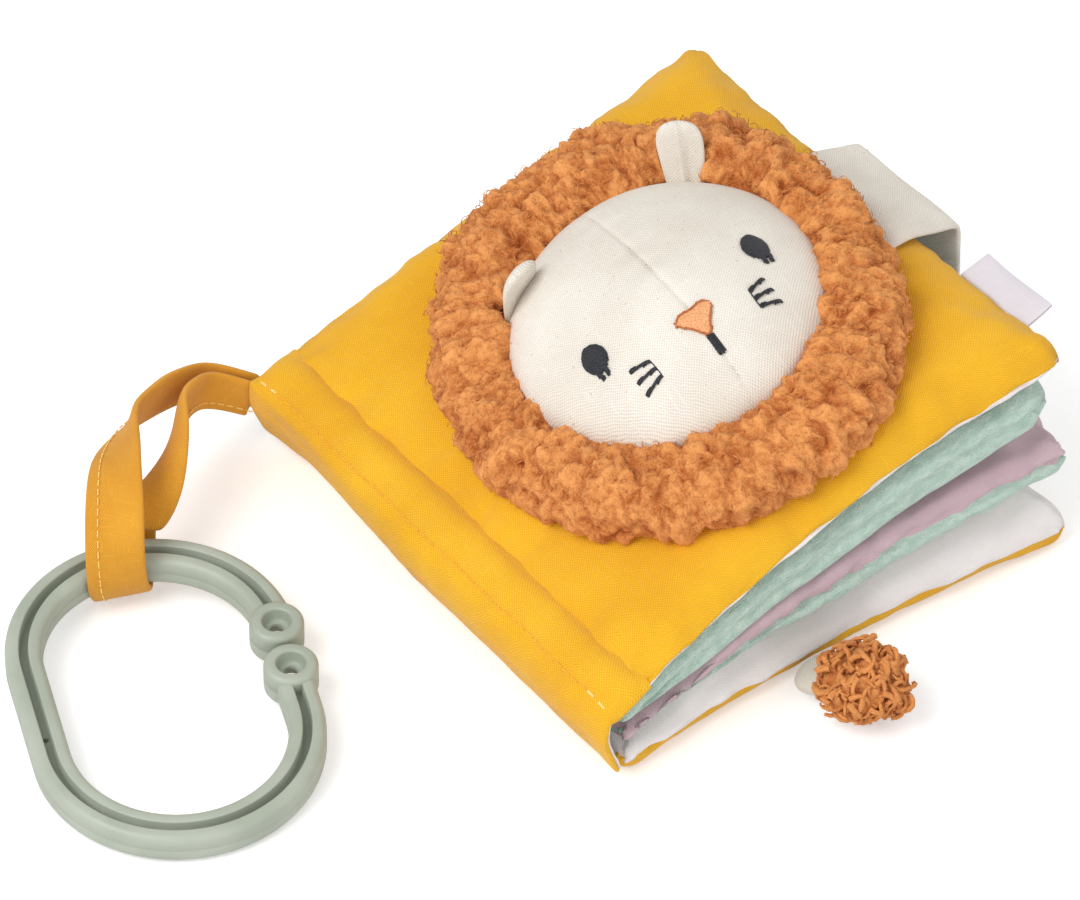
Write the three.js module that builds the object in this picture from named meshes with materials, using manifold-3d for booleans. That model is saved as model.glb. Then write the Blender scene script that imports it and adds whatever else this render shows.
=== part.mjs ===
// Crinkle cloth book: two padded covers and two padded leaves on a cloth spine,
// with a stuffed lion's head on the front cover, a closure strap, a label, a tail,
// and a link ring on a hanging loop. Millimetres. +X runs from the spine to the
// fore-edge, +Y from the tail edge to the head edge, +Z up. The origin is the centre
// of the flat patch that the back cover rests on.
import * as THREE from 'three';
import { mergeVertices } from 'three/addons/utils/BufferGeometryUtils.js';
import Module from 'manifold-3d';

// Cloth, padding and running clearance
const GAP = 0.3;
const SOFT_GAP = 0.45;
const CLOTH = 0.7;
const FILM = 0.2;
const EDGE_ROLL = 13;
const CORNER_RADIUS = 7;
const DRAW_IN = 3.2;

// Covers and leaves
const COVER_WIDTH = 140;
const COVER_HEIGHT = 146;
const SPINE_HEIGHT = 22.2;
const SPINE_BULGE = 2.5;
const SPINE_CLOTH = 1;
const TABLE_CLEARANCE = 0.7;
const COVER_SETBACK = 4;
const LEAF_SETBACK = 1.8;
const LEAF_INSET = 4;
const BACK_TOP_CROWN = 11.5;
const BACK_BOTTOM_CROWN = 5.5;
const REST_CUT = 0.5;
const LEAF_B_TOP_CROWN = 5.6;
const LEAF_B_BOTTOM_CROWN = 5.5;
const LEAF_A_TOP_CROWN = 5;
const LEAF_A_BOTTOM_CROWN = 6.6;
const FRONT_TOP_CROWN = 7.5;
const FRONT_BOTTOM_CROWN = 4.6;
const LEAF_B_BOW = 2;
const FRONT_BOW = 4;

// Lion's head
const HEAD_BELOW_MIDDLE = 4.5;
const HEAD_SEAT = 0.5;
const FACE_RADIUS = 39.5;
const FACE_EDGE_HEIGHT = 10.5;
const FACE_CROWN = 28;
const FACE_HEM = 4;
const MUZZLE_SWELL = 2.4;
const MANE_HEIGHT = 14;
const MANE_WIDTH_ACROSS = 16;
const MANE_WIDTH_ALONG = 22.5;
const MANE_LUMP = 1.2;
const MANE_OFFSET = -2;
const EAR_LENGTH = 15.5;
const EAR_WIDTH = 12;
const EAR_THICKNESS = 5;
const EAR_ROOT_HEIGHT = 12.35;
const STITCH_THICKNESS = 0.6;
const STITCH_LIFT = 0.5;
const EYE_WIDTH = 6.2;
const EYE_HEIGHT = 8.2;
const NOSE_WIDTH = 9.5;
const NOSE_HEIGHT = 7.5;
const MOUTH_LENGTH = 4.4;
const MOUTH_WIDTH = 1.5;
const WHISKER_LENGTH = 5.6;
const WHISKER_WIDTH = 0.9;
const WHISKER_PITCH = 2.7;

// Closure strap and label
const STRAP_WIDTH = 38;
const STRAP_THICKNESS = 1.4;
const STRAP_BELOW_MIDDLE = 2;
const STRAP_LAP = 8.4;
const STRAP_REACH = 8.5;
const STRAP_RISE = 4;
const STRAP_BEND_DROP = 8;
const FLAP_LENGTH = 48;
const FLAP_INSWING = 0.6;
const HOOK_LENGTH = 16;
const HOOK_WIDTH = 28;
const HOOK_THICKNESS = 1.2;
const LABEL_WIDTH = 24;
const LABEL_LENGTH = 7.5;
const LABEL_THICKNESS = 0.8;
const LABEL_BELOW_MIDDLE = 45.5;

// Tail
const TAIL_ALONG = 61;
const TAIL_WIDTH = 12.6;
const TAIL_DEPTH = 7.6;
const TAIL_LENGTH = 6.5;
const TAIL_SIDESTEP = 1;
const TUFT_RADIUS = 11.8;
const TUFT_LUMP = 1;

// Link ring and hanging loop
const RING_HALF_WIDTH = 30.4;
const RING_STRAIGHT = 28;
const RING_BAR_WIDTH = 9;
const RING_BAR_HEIGHT = 8;
const RING_CHAMFER = 1.8;
const GROOVE_WIDTH = 2.8;
const GROOVE_DEPTH = 4.6;
const EYELET_RADIUS = 6.6;
const EYELET_HEIGHT = 9;
const EYELET_SPLIT = 0.8;
const EYELET_BORE = 1.6;
const EYELET_DISH_RADIUS = 3.3;
const EYELET_DISH_DEPTH = 3.4;
const SPLIT_OFFSET = 5.5;
const VENT_RADIUS = 0.6;
const VENT_OFFSET = 6;
const CUT_OVERRUN = 2;
const RING_FROM_SPINE = 56.5;
const RING_FROM_HEAD = 23;
const LOOP_WIDTH = 13;
const LOOP_ROOT_WIDTH = 10;
const LOOP_THICKNESS = 1.9;
const LOOP_RUNNING = 0.6;
const LOOP_SLANT = 3;
const LOOP_TABLE_CLEARANCE = 0.4;
const LOOP_ROOT_HEIGHT = 15;
const LOOP_ROOT_SPREAD = 3.2;
const LOOP_SWELL_OUT = 6.5;
const LOOP_PEAK = 25;

// Angles, in degrees
const LEAF_B_TILT = 7.1;
const LEAF_A_TILT = 15.1;
const FRONT_TILT = 16.6;
const HEAD_TURN = -4;
const WHISKER_FAN = 13;
const WHISKER_RISE = 8;
const EAR_BEARING = 45;
const EAR_LEFT_LEAN = 10;
const EAR_RIGHT_LEAN = 30;
const RING_TURN = -20.6;

// Shares of the sizes that they follow
const LEAF_B_SEAM_SHARE = 0.545;
const LEAF_A_SEAM_SHARE = 0.752;
const BACK_TOP_SPINE_SHARE = 0.45;
const BOTTOM_SPINE_SHARE = 1;
const HEAD_DRAW_SHARE = 0.4;
const LEAF_SPINE_SHARE = 0.34;
const SPINE_SPAN_SHARE = 0.93;
const LINING_SPAN_SHARE = 0.8;
const FRONT_TOP_SPINE_SHARE = 0.62;
const FRONT_BOTTOM_SPINE_SHARE = 0.56;
const ROLL_SHARES = [0, 0.1, 0.4, 1];
const WADDING_ROLL_SHARES = [0.1, 0.4, 1];
const FILM_ROLL_SHARES = [0.4, 1];
const INNER_RING_SHARE = 0.55;
const DOME_FULLNESS_SHARE = 0.6;
const HEAD_ALONG_SHARE = 0.489;
const MUZZLE_DROP_SHARE = 0.43;
const MUZZLE_RADIUS_SHARE = 0.43;
const EYE_SPREAD_SHARE = 0.592;
const EYE_DROP_SHARE = 0.208;
const NOSE_DROP_SHARE = 0.506;
const WHISKER_SPREAD_SHARE = 0.43;
const WHISKER_DROP_SHARE = 0.534;
const FACE_RING_SHARES = [1, 0.93, 0.75, 0.5, 0.25];
const MANE_SECTION_SHARES = [
  [-0.5, 0], [-1, 0.3], [-1, 0.78], [-0.45, 1], [0.35, 0.98], [1, 0.68], [0.98, 0.3], [0.5, 0],
];
const EAR_RING_SHARES = [[0.08, 0.45], [0.3, 0.8], [0.6, 1], [0.85, 0.86], [0.97, 0.5]];
const EYE_OUTLINE_SHARES = [
  [0, 1], [0.7, 0.72], [1, 0], [0.72, -0.66], [0.3, -0.92], [0.12, -1.3], [-0.05, -0.96],
  [-0.42, -1.25], [-0.5, -0.85], [-1, -0.1], [-0.7, 0.7],
];
const NOSE_OUTLINE_SHARES = [
  [-1, 0.62], [-0.55, 1], [0.55, 1], [1, 0.62], [0.62, -0.1], [0.16, -1], [-0.16, -1], [-0.62, -0.1],
];
const STRAP_FAR_SIDE_SHARE = 0.55;
const STRAP_BOW_SHARES = [[0.2, 1], [0.72, 0.72], [0.96, 0.2]];
const FLAP_ROW_SHARES = [0, 0.03, 0.35, 0.7, 1];
const LOOP_ROUTE_SHARES = [
  [0.16, 0.86, 0.4], [0.32, 0.57, 0.75], [0.5, -0.08, 1], [0.67, -0.38, 0.95], [0.85, -0.74, 0.85],
];
const LOOP_DROP_SHARE = 1.4;
const LOOP_TWIST_SHARES = [0.25, 0.9];
const LOOP_SPREAD_SHARES = [0.1, 1];
const LOOP_WIDEN_SHARES = [0, 0.4];
const LOOP_SLANT_SHARES = [0.2, 0.8];
const TUFT_SEAT_SHARE = 0.6;
const TAIL_RING_SHARES = [[-1.06, 0.14], [-0.8, 0.66], [0, 1], [1, 1], [2.1, 0.86]];

// Counts
const CORNER_STEPS = 2;
const SIDE_STEPS = 4;
const FACE_SIDES = 24;
const MANE_LUMPS = 7;
const TUFT_LUMPS = 3;
const SPINE_STEPS = 10;
const SPINE_ROWS = 6;
const EAR_SIDES = 10;
const TAIL_SIDES = 10;
const TUFT_RINGS = 8;
const TUFT_SIDES = 14;
const RING_ARC_STEPS = 14;
const EYELET_SIDES = 20;
const VENT_SIDES = 10;
const LEG_STEPS = 12;
const WRAP_STEPS = 8;

// Places worked out from the sizes above
const HALF_WIDTH = COVER_WIDTH / 2;
const HALF_HEIGHT = COVER_HEIGHT / 2;
const SPINE_X = -HALF_WIDTH;
const MUZZLE_DROP = FACE_RADIUS * MUZZLE_DROP_SHARE;
const MUZZLE_RADIUS = FACE_RADIUS * MUZZLE_RADIUS_SHARE;
const EYE_SPREAD = FACE_RADIUS * EYE_SPREAD_SHARE;
const EYE_DROP = FACE_RADIUS * EYE_DROP_SHARE;
const NOSE_DROP = FACE_RADIUS * NOSE_DROP_SHARE;
const WHISKER_SPREAD = FACE_RADIUS * WHISKER_SPREAD_SHARE;
const WHISKER_DROP = FACE_RADIUS * WHISKER_DROP_SHARE;
const rad = THREE.MathUtils.degToRad;
const mix = THREE.MathUtils.lerp;
const smooth = (t, [from, to]) => THREE.MathUtils.smoothstep(t, from, to);
const V = (x, y, z) => new THREE.Vector3(x, y, z);

const book = new THREE.Group();

const cloth = (color, roughness) => new THREE.MeshStandardMaterial({ color, roughness, metalness: 0 });
const MUSTARD = cloth(0xefa823, 0.9);
const LINEN = cloth(0xe4dccf, 0.9);
const WHITE_COTTON = cloth(0xeee8e6, 0.85);
const MINT_PLUSH = cloth(0xb9d8c4, 0.95);
const MAUVE_COTTON = cloth(0xcbb0b6, 0.8);
const TEDDY = cloth(0xcd7f3e, 1);
const WADDING = cloth(0xf4f4f0, 1);
const CRINKLE = cloth(0xdfe6ea, 0.35);
const CHARCOAL = cloth(0x2c2d33, 0.7);
const NOSE_ORANGE = cloth(0xd78949, 0.6);
const LABEL_SATIN = cloth(0xe1dde0, 0.5);
const HOOK_TAPE = cloth(0xe9e5dc, 0.95);
const SAGE_PLASTIC = cloth(0xafb6a8, 0.45);

function place(name, geometry, material, parent = book) {
  const mesh = new THREE.Mesh(geometry, material);
  mesh.name = name;
  parent.add(mesh);
  return mesh;
}

// Closed mesh from points and faces, turned so that its faces point out
function closedGeometry(points, faces) {
  let volume = 0;
  for (const [a, b, c] of faces) {
    volume += points[a].dot(points[b].clone().cross(points[c]));
  }
  const index = [];
  for (const [a, b, c] of faces) {
    index.push(a, volume > 0 ? b : c, volume > 0 ? c : b);
  }
  const geometry = new THREE.BufferGeometry();
  const coordinates = points.flatMap((p) => p.toArray());
  geometry.setAttribute('position', new THREE.Float32BufferAttribute(coordinates, 3));
  geometry.setIndex(index);
  return geometry;
}

function middleOf(points) {
  const sum = points.reduce((total, p) => total.add(p), V(0, 0, 0));
  return sum.divideScalar(points.length);
}

// Skin through a row of rings of points; an open row is capped at both ends
function loft(rings, { closed = false, startTip = null, endTip = null } = {}) {
  const sides = rings[0].length;
  const points = rings.flat();
  const faces = [];
  const last = closed ? rings.length : rings.length - 1;
  for (let i = 0; i < last; i++) {
    for (let j = 0; j < sides; j++) {
      const a = i * sides + j;
      const b = i * sides + ((j + 1) % sides);
      const c = ((i + 1) % rings.length) * sides + j;
      const d = ((i + 1) % rings.length) * sides + ((j + 1) % sides);
      faces.push([a, c, b], [b, c, d]);
    }
  }
  if (!closed) {
    const start = points.push(startTip ?? middleOf(rings[0])) - 1;
    const end = points.push(endTip ?? middleOf(rings[rings.length - 1])) - 1;
    const base = (rings.length - 1) * sides;
    for (let j = 0; j < sides; j++) {
      faces.push([start, j, (j + 1) % sides]);
      faces.push([end, base + ((j + 1) % sides), base + j]);
    }
  }
  return closedGeometry(points, faces);
}

// A band of cloth: rows of points across its width, thickened half to each side
function band(rows, thickness) {
  const normals = rows.map((row, i) => {
    const before = rows[Math.max(i - 1, 0)];
    const after = rows[Math.min(i + 1, rows.length - 1)];
    const run = middleOf(after).sub(middleOf(before));
    const across = row[row.length - 1].clone().sub(row[0]);
    return run.cross(across).normalize().multiplyScalar(thickness / 2);
  });
  return loft(rows.map((row, i) => {
    const upper = row.map((p) => p.clone().add(normals[i]));
    const lower = row.map((p) => p.clone().sub(normals[i])).reverse();
    return upper.concat(lower);
  }));
}

// Padded panels: a seam line all round, with a rounded crown above and below it
function panel({ near, far, seam, bow, tilt, crowns, spineShares }) {
  return { near, far, seam, bow, tilt: rad(tilt), crowns, spineShares };
}

const frontReach = (COVER_WIDTH - COVER_SETBACK) * Math.cos(rad(FRONT_TILT));
const leafAReach = (COVER_WIDTH - LEAF_SETBACK - LEAF_INSET) * Math.cos(rad(LEAF_A_TILT));
const leafBReach = (COVER_WIDTH - LEAF_SETBACK) * Math.cos(rad(LEAF_B_TILT));

const BACK = panel({
  near: COVER_SETBACK,
  far: COVER_WIDTH,
  seam: BACK_BOTTOM_CROWN - REST_CUT,
  bow: 0,
  tilt: 0,
  crowns: [BACK_TOP_CROWN, BACK_BOTTOM_CROWN],
  spineShares: [BACK_TOP_SPINE_SHARE, BOTTOM_SPINE_SHARE],
});
const LEAF_B = panel({
  near: LEAF_SETBACK,
  far: LEAF_SETBACK + leafBReach,
  seam: SPINE_HEIGHT * LEAF_B_SEAM_SHARE,
  bow: LEAF_B_BOW,
  tilt: LEAF_B_TILT,
  crowns: [LEAF_B_TOP_CROWN, LEAF_B_BOTTOM_CROWN],
  spineShares: [LEAF_SPINE_SHARE, LEAF_SPINE_SHARE],
});
const LEAF_A = panel({
  near: LEAF_SETBACK,
  far: LEAF_SETBACK + leafAReach,
  seam: SPINE_HEIGHT * LEAF_A_SEAM_SHARE,
  bow: 0,
  tilt: LEAF_A_TILT,
  crowns: [LEAF_A_TOP_CROWN, LEAF_A_BOTTOM_CROWN],
  spineShares: [FRONT_BOTTOM_SPINE_SHARE, LEAF_SPINE_SHARE],
});
const FRONT = panel({
  near: COVER_SETBACK,
  far: COVER_SETBACK + frontReach,
  seam: SPINE_HEIGHT,
  bow: FRONT_BOW,
  tilt: FRONT_TILT,
  crowns: [FRONT_TOP_CROWN, FRONT_BOTTOM_CROWN],
  spineShares: [FRONT_TOP_SPINE_SHARE, FRONT_BOTTOM_SPINE_SHARE],
});

// Height of the seam line at a distance from the spine
function seamHeight(p, fromSpine) {
  const share = THREE.MathUtils.clamp(fromSpine / COVER_WIDTH, 0, 1);
  return p.seam + fromSpine * Math.tan(p.tilt) + p.bow * 4 * share * (1 - share);
}

// How high the crown stands off the seam line; it is squeezed towards the spine
function crownHeight(p, side, fromSpine) {
  const k = side > 0 ? 0 : 1;
  const share = THREE.MathUtils.clamp(fromSpine / COVER_WIDTH, 0, 1);
  const squeeze = p.spineShares[k] + (1 - p.spineShares[k]) * Math.sin((Math.PI / 2) * share);
  return p.crowns[k] * squeeze;
}

function rollShare(inset, roll) {
  const left = 1 - THREE.MathUtils.clamp(inset / roll, 0, 1);
  return Math.sqrt(1 - left * left);
}

// Points round a panel's outline, inset from its seam, with sides drawn in between the corners
function outline(p, inset) {
  const middle = (p.near + p.far) / 2;
  const halfX = (p.far - p.near) / 2 - inset;
  const halfY = HALF_HEIGHT - inset;
  const corner = Math.min(Math.max(CORNER_RADIUS - inset, CORNER_RADIUS / 4), halfX, halfY);
  const shrink = halfY / HALF_HEIGHT;
  const points = [];
  const turns = [[1, 1], [-1, 1], [-1, -1], [1, -1]];
  turns.forEach(([sx, sy], q) => {
    const cx = sx * (halfX - corner);
    const cy = sy * (halfY - corner);
    for (let i = 0; i <= CORNER_STEPS; i++) {
      const angle = (Math.PI / 2) * (q + i / CORNER_STEPS);
      points.push([cx + corner * Math.cos(angle), cy + corner * Math.sin(angle)]);
    }
    const [nx, ny] = turns[(q + 1) % 4];
    const start = points[points.length - 1];
    const next = (Math.PI / 2) * (q + 1);
    const end = [
      nx * (halfX - corner) + corner * Math.cos(next),
      ny * (halfY - corner) + corner * Math.sin(next),
    ];
    for (let i = 1; i < SIDE_STEPS; i++) {
      const t = i / SIDE_STEPS;
      points.push([start[0] + (end[0] - start[0]) * t, start[1] + (end[1] - start[1]) * t]);
    }
  });
  return points.map(([x, y]) => {
    const alongX = 1 - (x / halfX) ** 2;
    const alongY = 1 - (y / halfY) ** 2;
    const pull = y > 0 ? DRAW_IN * HEAD_DRAW_SHARE : DRAW_IN;
    const drawY = pull * shrink * Math.max(alongX, 0) * (y / halfY);
    const drawX = x > 0 ? DRAW_IN * HEAD_DRAW_SHARE * shrink * Math.max(alongY, 0) * (x / halfX) : 0;
    return [middle + x - drawX, y - drawY];
  });
}

// One face of a panel as rings from the seam inwards; depth is how far it lies inside the cloth
function faceRings(p, side, depth, shares = ROLL_SHARES) {
  const roll = EDGE_ROLL - depth;
  const innerInset = (HALF_HEIGHT - depth) * INNER_RING_SHARE;
  const insets = shares.map((share) => share * roll).concat([innerInset]);
  const lift = (x, inset) => {
    const height = Math.max(crownHeight(p, side, x) - depth, 0) * rollShare(inset, roll);
    return seamHeight(p, x) + side * height;
  };
  const floor = p === BACK && side < 0 ? depth : -Infinity;
  const ring = (inset) => outline(p, depth + inset).map(([x, y]) => (
    V(SPINE_X + x, y, Math.max(lift(x, inset), floor))
  ));
  const middle = (p.near + p.far) / 2;
  const tip = V(SPINE_X + middle, 0, Math.max(lift(middle, innerInset), floor));
  return { rings: insets.map(ring), tip };
}

// A cloth dish on one side of the seam
function dish(p, side) {
  const outer = faceRings(p, side, 0);
  const inner = faceRings(p, side, CLOTH);
  const raise = (ring) => ring.map((q) => V(q.x, q.y, q.z + (side * GAP) / 2));
  const outerRings = [raise(outer.rings[0]), ...outer.rings.slice(1)];
  const innerRings = [raise(inner.rings[0]), ...inner.rings.slice(1)];
  return loft(outerRings.reverse().concat(innerRings), { startTip: outer.tip, endTip: inner.tip });
}

// Crinkling film under the padding, held back from the seams
function crinkleFilm(p) {
  const outer = faceRings(p, -1, CLOTH + SOFT_GAP, FILM_ROLL_SHARES);
  const inner = faceRings(p, -1, CLOTH + SOFT_GAP + FILM, FILM_ROLL_SHARES);
  return loft(outer.rings.reverse().concat(inner.rings), { startTip: outer.tip, endTip: inner.tip });
}

// Soft filling between the upper cloth and the film
function filling(p) {
  const top = faceRings(p, 1, CLOTH + SOFT_GAP, WADDING_ROLL_SHARES);
  const bottom = faceRings(p, -1, CLOTH + SOFT_GAP + FILM + SOFT_GAP, WADDING_ROLL_SHARES);
  return loft(top.rings.reverse().concat(bottom.rings), { startTip: top.tip, endTip: bottom.tip });
}

function paddedPanel(prefix, p, upper, lower) {
  place(`${prefix}_${upper.part}`, dish(p, 1), upper.material);
  place(`${prefix}_${lower.part}`, dish(p, -1), lower.material);
  place(`${prefix}_wadding`, filling(p), WADDING);
  place(`${prefix}_crinkle_film`, crinkleFilm(p), CRINKLE);
}

const mustard = (part) => ({ part, material: MUSTARD });
const cotton = (part, material) => ({ part, material });
const plush = (part) => ({ part, material: MINT_PLUSH });
paddedPanel('front_cover', FRONT, mustard('cloth'), cotton('lining', WHITE_COTTON));
paddedPanel('leaf_a', LEAF_A, plush('upper_plush'), plush('lower_plush'));
paddedPanel('leaf_b', LEAF_B, cotton('upper_cotton', MAUVE_COTTON), plush('lower_plush'));
paddedPanel('back_cover', BACK, cotton('lining', WHITE_COTTON), mustard('cloth'));

// Spine: a strip of cloth round the back of the leaves, and its lining just inside
function spineStrip(depth, thickness, spanShare) {
  const top = seamHeight(FRONT, COVER_SETBACK);
  const halfTall = (top - TABLE_CLEARANCE) / 2 - depth - thickness / 2;
  const middle = (top + TABLE_CLEARANCE) / 2;
  const endX = COVER_SETBACK - GAP;
  const deep = endX + SPINE_BULGE - depth - thickness / 2;
  const rows = [];
  for (let i = 0; i <= SPINE_STEPS; i++) {
    const angle = (Math.PI / 2) * spanShare * ((2 * i) / SPINE_STEPS - 1);
    const row = [];
    for (let j = 0; j <= SPINE_ROWS; j++) {
      const t = (2 * j) / SPINE_ROWS - 1;
      const draw = DRAW_IN * HEAD_DRAW_SHARE * t ** 4;
      const x = SPINE_X + endX - (deep - draw) * Math.cos(angle);
      row.push(V(x, t * (HALF_HEIGHT - depth / 2), middle + halfTall * Math.sin(angle)));
    }
    rows.push(row);
  }
  return band(rows, thickness);
}

place('spine_cloth', spineStrip(0, SPINE_CLOTH, SPINE_SPAN_SHARE), MUSTARD);
place('spine_lining', spineStrip(SPINE_CLOTH + SOFT_GAP, CLOTH, LINING_SPAN_SHARE), WHITE_COTTON);

// Front cover's top surface, and places on it measured from the head's centre
const tilt = rad(FRONT_TILT);
const headX = COVER_SETBACK + COVER_WIDTH * HEAD_ALONG_SHARE * Math.cos(tilt);
const headY = -HEAD_BELOW_MIDDLE;
const coverNormal = V(-Math.sin(tilt), 0, Math.cos(tilt));

function coverTop(x, y) {
  const inset = Math.max(Math.min(x - FRONT.near, FRONT.far - x, HALF_HEIGHT - Math.abs(y)), 0);
  return seamHeight(FRONT, x) + crownHeight(FRONT, 1, x) * rollShare(inset, EDGE_ROLL);
}

function onCover(across, along, height) {
  const turn = rad(HEAD_TURN);
  const x = headX + (across * Math.cos(turn) - along * Math.sin(turn)) * Math.cos(tilt);
  const y = headY + across * Math.sin(turn) + along * Math.cos(turn);
  return V(SPINE_X + x, y, coverTop(x, y)).addScaledVector(coverNormal, height);
}

function headRing(radius, height) {
  const ring = [];
  for (let i = 0; i < FACE_SIDES; i++) {
    const angle = (2 * Math.PI * i) / FACE_SIDES;
    const across = radius * Math.cos(angle);
    const along = radius * Math.sin(angle);
    ring.push(onCover(across, along, height(across, along)));
  }
  return ring;
}

// Height of the face's dome above the cover, with a low swell for the muzzle
function domeHeight(share) {
  return FACE_EDGE_HEIGHT + (FACE_CROWN - FACE_EDGE_HEIGHT) * (1 - share ** 2) ** DOME_FULLNESS_SHARE;
}

function muzzleHeight(across, along) {
  const off = Math.hypot(across, along + MUZZLE_DROP) / MUZZLE_RADIUS;
  return MUZZLE_SWELL * Math.exp(-(off ** 2));
}

function faceHeight(across, along) {
  const share = Math.min(Math.hypot(across, along) / FACE_RADIUS, 1);
  return domeHeight(share) + muzzleHeight(across, along);
}

function domeRings(depth, hem) {
  const rings = [headRing(FACE_RADIUS - depth, () => hem)];
  for (const share of FACE_RING_SHARES) {
    const height = (across, along) => domeHeight(share) + muzzleHeight(across, along) - depth;
    rings.push(headRing((FACE_RADIUS - depth) * share, height));
  }
  return { rings, tip: onCover(0, 0, faceHeight(0, 0) - depth) };
}

function lionFace() {
  const outer = domeRings(0, FACE_HEM);
  const inner = domeRings(CLOTH, FACE_HEM);
  return loft(outer.rings.reverse().concat(inner.rings), { startTip: outer.tip, endTip: inner.tip });
}

function headFilling() {
  const depth = CLOTH + SOFT_GAP;
  const dome = domeRings(depth, HEAD_SEAT);
  const baseRing = headRing((FACE_RADIUS - depth) / 2, () => HEAD_SEAT);
  const rings = dome.rings.reverse().concat([baseRing]);
  return loft(rings, { startTip: dome.tip, endTip: onCover(0, 0, HEAD_SEAT) });
}

// Mane: a fat ring round the face, lumpy as curled fleece is
function lionMane() {
  const rings = [];
  const inner = FACE_RADIUS + GAP;
  for (let i = 0; i < FACE_SIDES; i++) {
    const angle = (2 * Math.PI * i) / FACE_SIDES;
    const lump = MANE_LUMP * Math.sin(MANE_LUMPS * angle) * Math.cos(TUFT_LUMPS * angle + 1);
    const wide = MANE_WIDTH_ACROSS * Math.cos(angle) ** 2 + MANE_WIDTH_ALONG * Math.sin(angle) ** 2
      + MANE_OFFSET * Math.cos(angle) + lump;
    const tall = MANE_HEIGHT + lump;
    rings.push(MANE_SECTION_SHARES.map(([outward, up]) => {
      const r = inner + (wide * (1 + outward)) / 2;
      return onCover(r * Math.cos(angle), r * Math.sin(angle), HEAD_SEAT + tall * up);
    }));
  }
  return loft(rings, { closed: true });
}

place('lion_face', lionFace(), LINEN);
place('lion_head_filling', headFilling(), WADDING);
place('lion_mane', lionMane(), TEDDY);

// Ears: flat cushions that stand at the join of face and mane, the left one nearly upright
function lionEar(bearing, lean) {
  const angle = rad(bearing);
  const heading = angle + rad(HEAD_TURN);
  const outward = V(Math.cos(tilt), 0, Math.sin(tilt)).multiplyScalar(Math.cos(heading));
  outward.y = Math.sin(heading);
  const length = outward.clone().multiplyScalar(Math.sin(rad(lean)));
  length.addScaledVector(coverNormal, Math.cos(rad(lean)));
  const width = length.clone().cross(outward).normalize();
  const depth = width.clone().cross(length).normalize();
  const root = onCover(FACE_RADIUS * Math.cos(angle), FACE_RADIUS * Math.sin(angle), EAR_ROOT_HEIGHT);
  const rings = EAR_RING_SHARES.map(([up, wide]) => {
    const ring = [];
    for (let i = 0; i < EAR_SIDES; i++) {
      const turn = (2 * Math.PI * i) / EAR_SIDES;
      const p = root.clone().addScaledVector(length, EAR_LENGTH * up);
      p.addScaledVector(width, (EAR_WIDTH / 2) * wide * Math.cos(turn));
      ring.push(p.addScaledVector(depth, (EAR_THICKNESS / 2) * wide * Math.sin(turn)));
    }
    return ring;
  });
  return loft(rings, { startTip: root, endTip: root.clone().addScaledVector(length, EAR_LENGTH) });
}

place('ear_left', lionEar(180 - EAR_BEARING, EAR_LEFT_LEAN), LINEN);
place('ear_right', lionEar(EAR_BEARING, EAR_RIGHT_LEAN), LINEN);

// Embroidery: a thin padded patch that lies on the dome
function stitchPatch(points) {
  const onFace = (across, along, extra) => onCover(across, along, faceHeight(across, along) + extra);
  const lift = (extra) => points.map(([across, along]) => onFace(across, along, extra));
  const middle = [0, 1].map((k) => points.reduce((sum, p) => sum + p[k], 0) / points.length);
  const tip = (extra) => onFace(...middle, extra);
  const high = STITCH_LIFT + STITCH_THICKNESS;
  return loft([lift(STITCH_LIFT), lift(high)], { startTip: tip(STITCH_LIFT), endTip: tip(high) });
}

function scaledOutline(shares, width, height, across, along, mirror = 1) {
  return shares.map(([x, y]) => [across + (mirror * x * width) / 2, along + (y * height) / 2]);
}

function stitchBar(across, along, angle, length, width) {
  const run = [Math.cos(angle), Math.sin(angle)];
  const corners = [[-1, -1], [1, -1], [1, 1], [-1, 1]];
  return stitchPatch(corners.map(([s, t]) => [
    across + (run[0] * s * length) / 2 - (run[1] * t * width) / 2,
    along + (run[1] * s * length) / 2 + (run[0] * t * width) / 2,
  ]));
}

for (const [side, mirror] of [['left', 1], ['right', -1]]) {
  const eyeAcross = -mirror * EYE_SPREAD;
  const eye = scaledOutline(EYE_OUTLINE_SHARES, EYE_WIDTH, EYE_HEIGHT, eyeAcross, -EYE_DROP, mirror);
  place(`eye_${side}`, stitchPatch(eye), CHARCOAL);
  for (let i = 0; i < 3; i++) {
    const along = -WHISKER_DROP - (i - 1) * WHISKER_PITCH;
    const rise = WHISKER_RISE - (i - 1) * WHISKER_FAN;
    const lean = rad(90 + mirror * (90 - rise));
    const bar = stitchBar(-mirror * WHISKER_SPREAD, along, lean, WHISKER_LENGTH, WHISKER_WIDTH);
    place(`whisker_${side}_${i + 1}`, bar, CHARCOAL);
  }
}
const noseOutline = scaledOutline(NOSE_OUTLINE_SHARES, NOSE_WIDTH, NOSE_HEIGHT, 0, -NOSE_DROP);
place('nose', stitchPatch(noseOutline), NOSE_ORANGE);
const mouthMiddle = NOSE_DROP + NOSE_HEIGHT / 2 + GAP + MOUTH_LENGTH / 2;
place('mouth', stitchBar(0, -mouthMiddle, rad(90), MOUTH_LENGTH, MOUTH_WIDTH), CHARCOAL);

// Closure strap: sewn to the cover beside the mane, bowed out over the fore-edge
const strapX = FRONT.far + STRAP_REACH;
const strapSeam = seamHeight(FRONT, FRONT.far);
const strapHingeZ = strapSeam - STRAP_BEND_DROP;
const strapLow = -STRAP_BELOW_MIDDLE - STRAP_WIDTH / 2;
const strapHigh = strapLow + STRAP_WIDTH;

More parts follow.
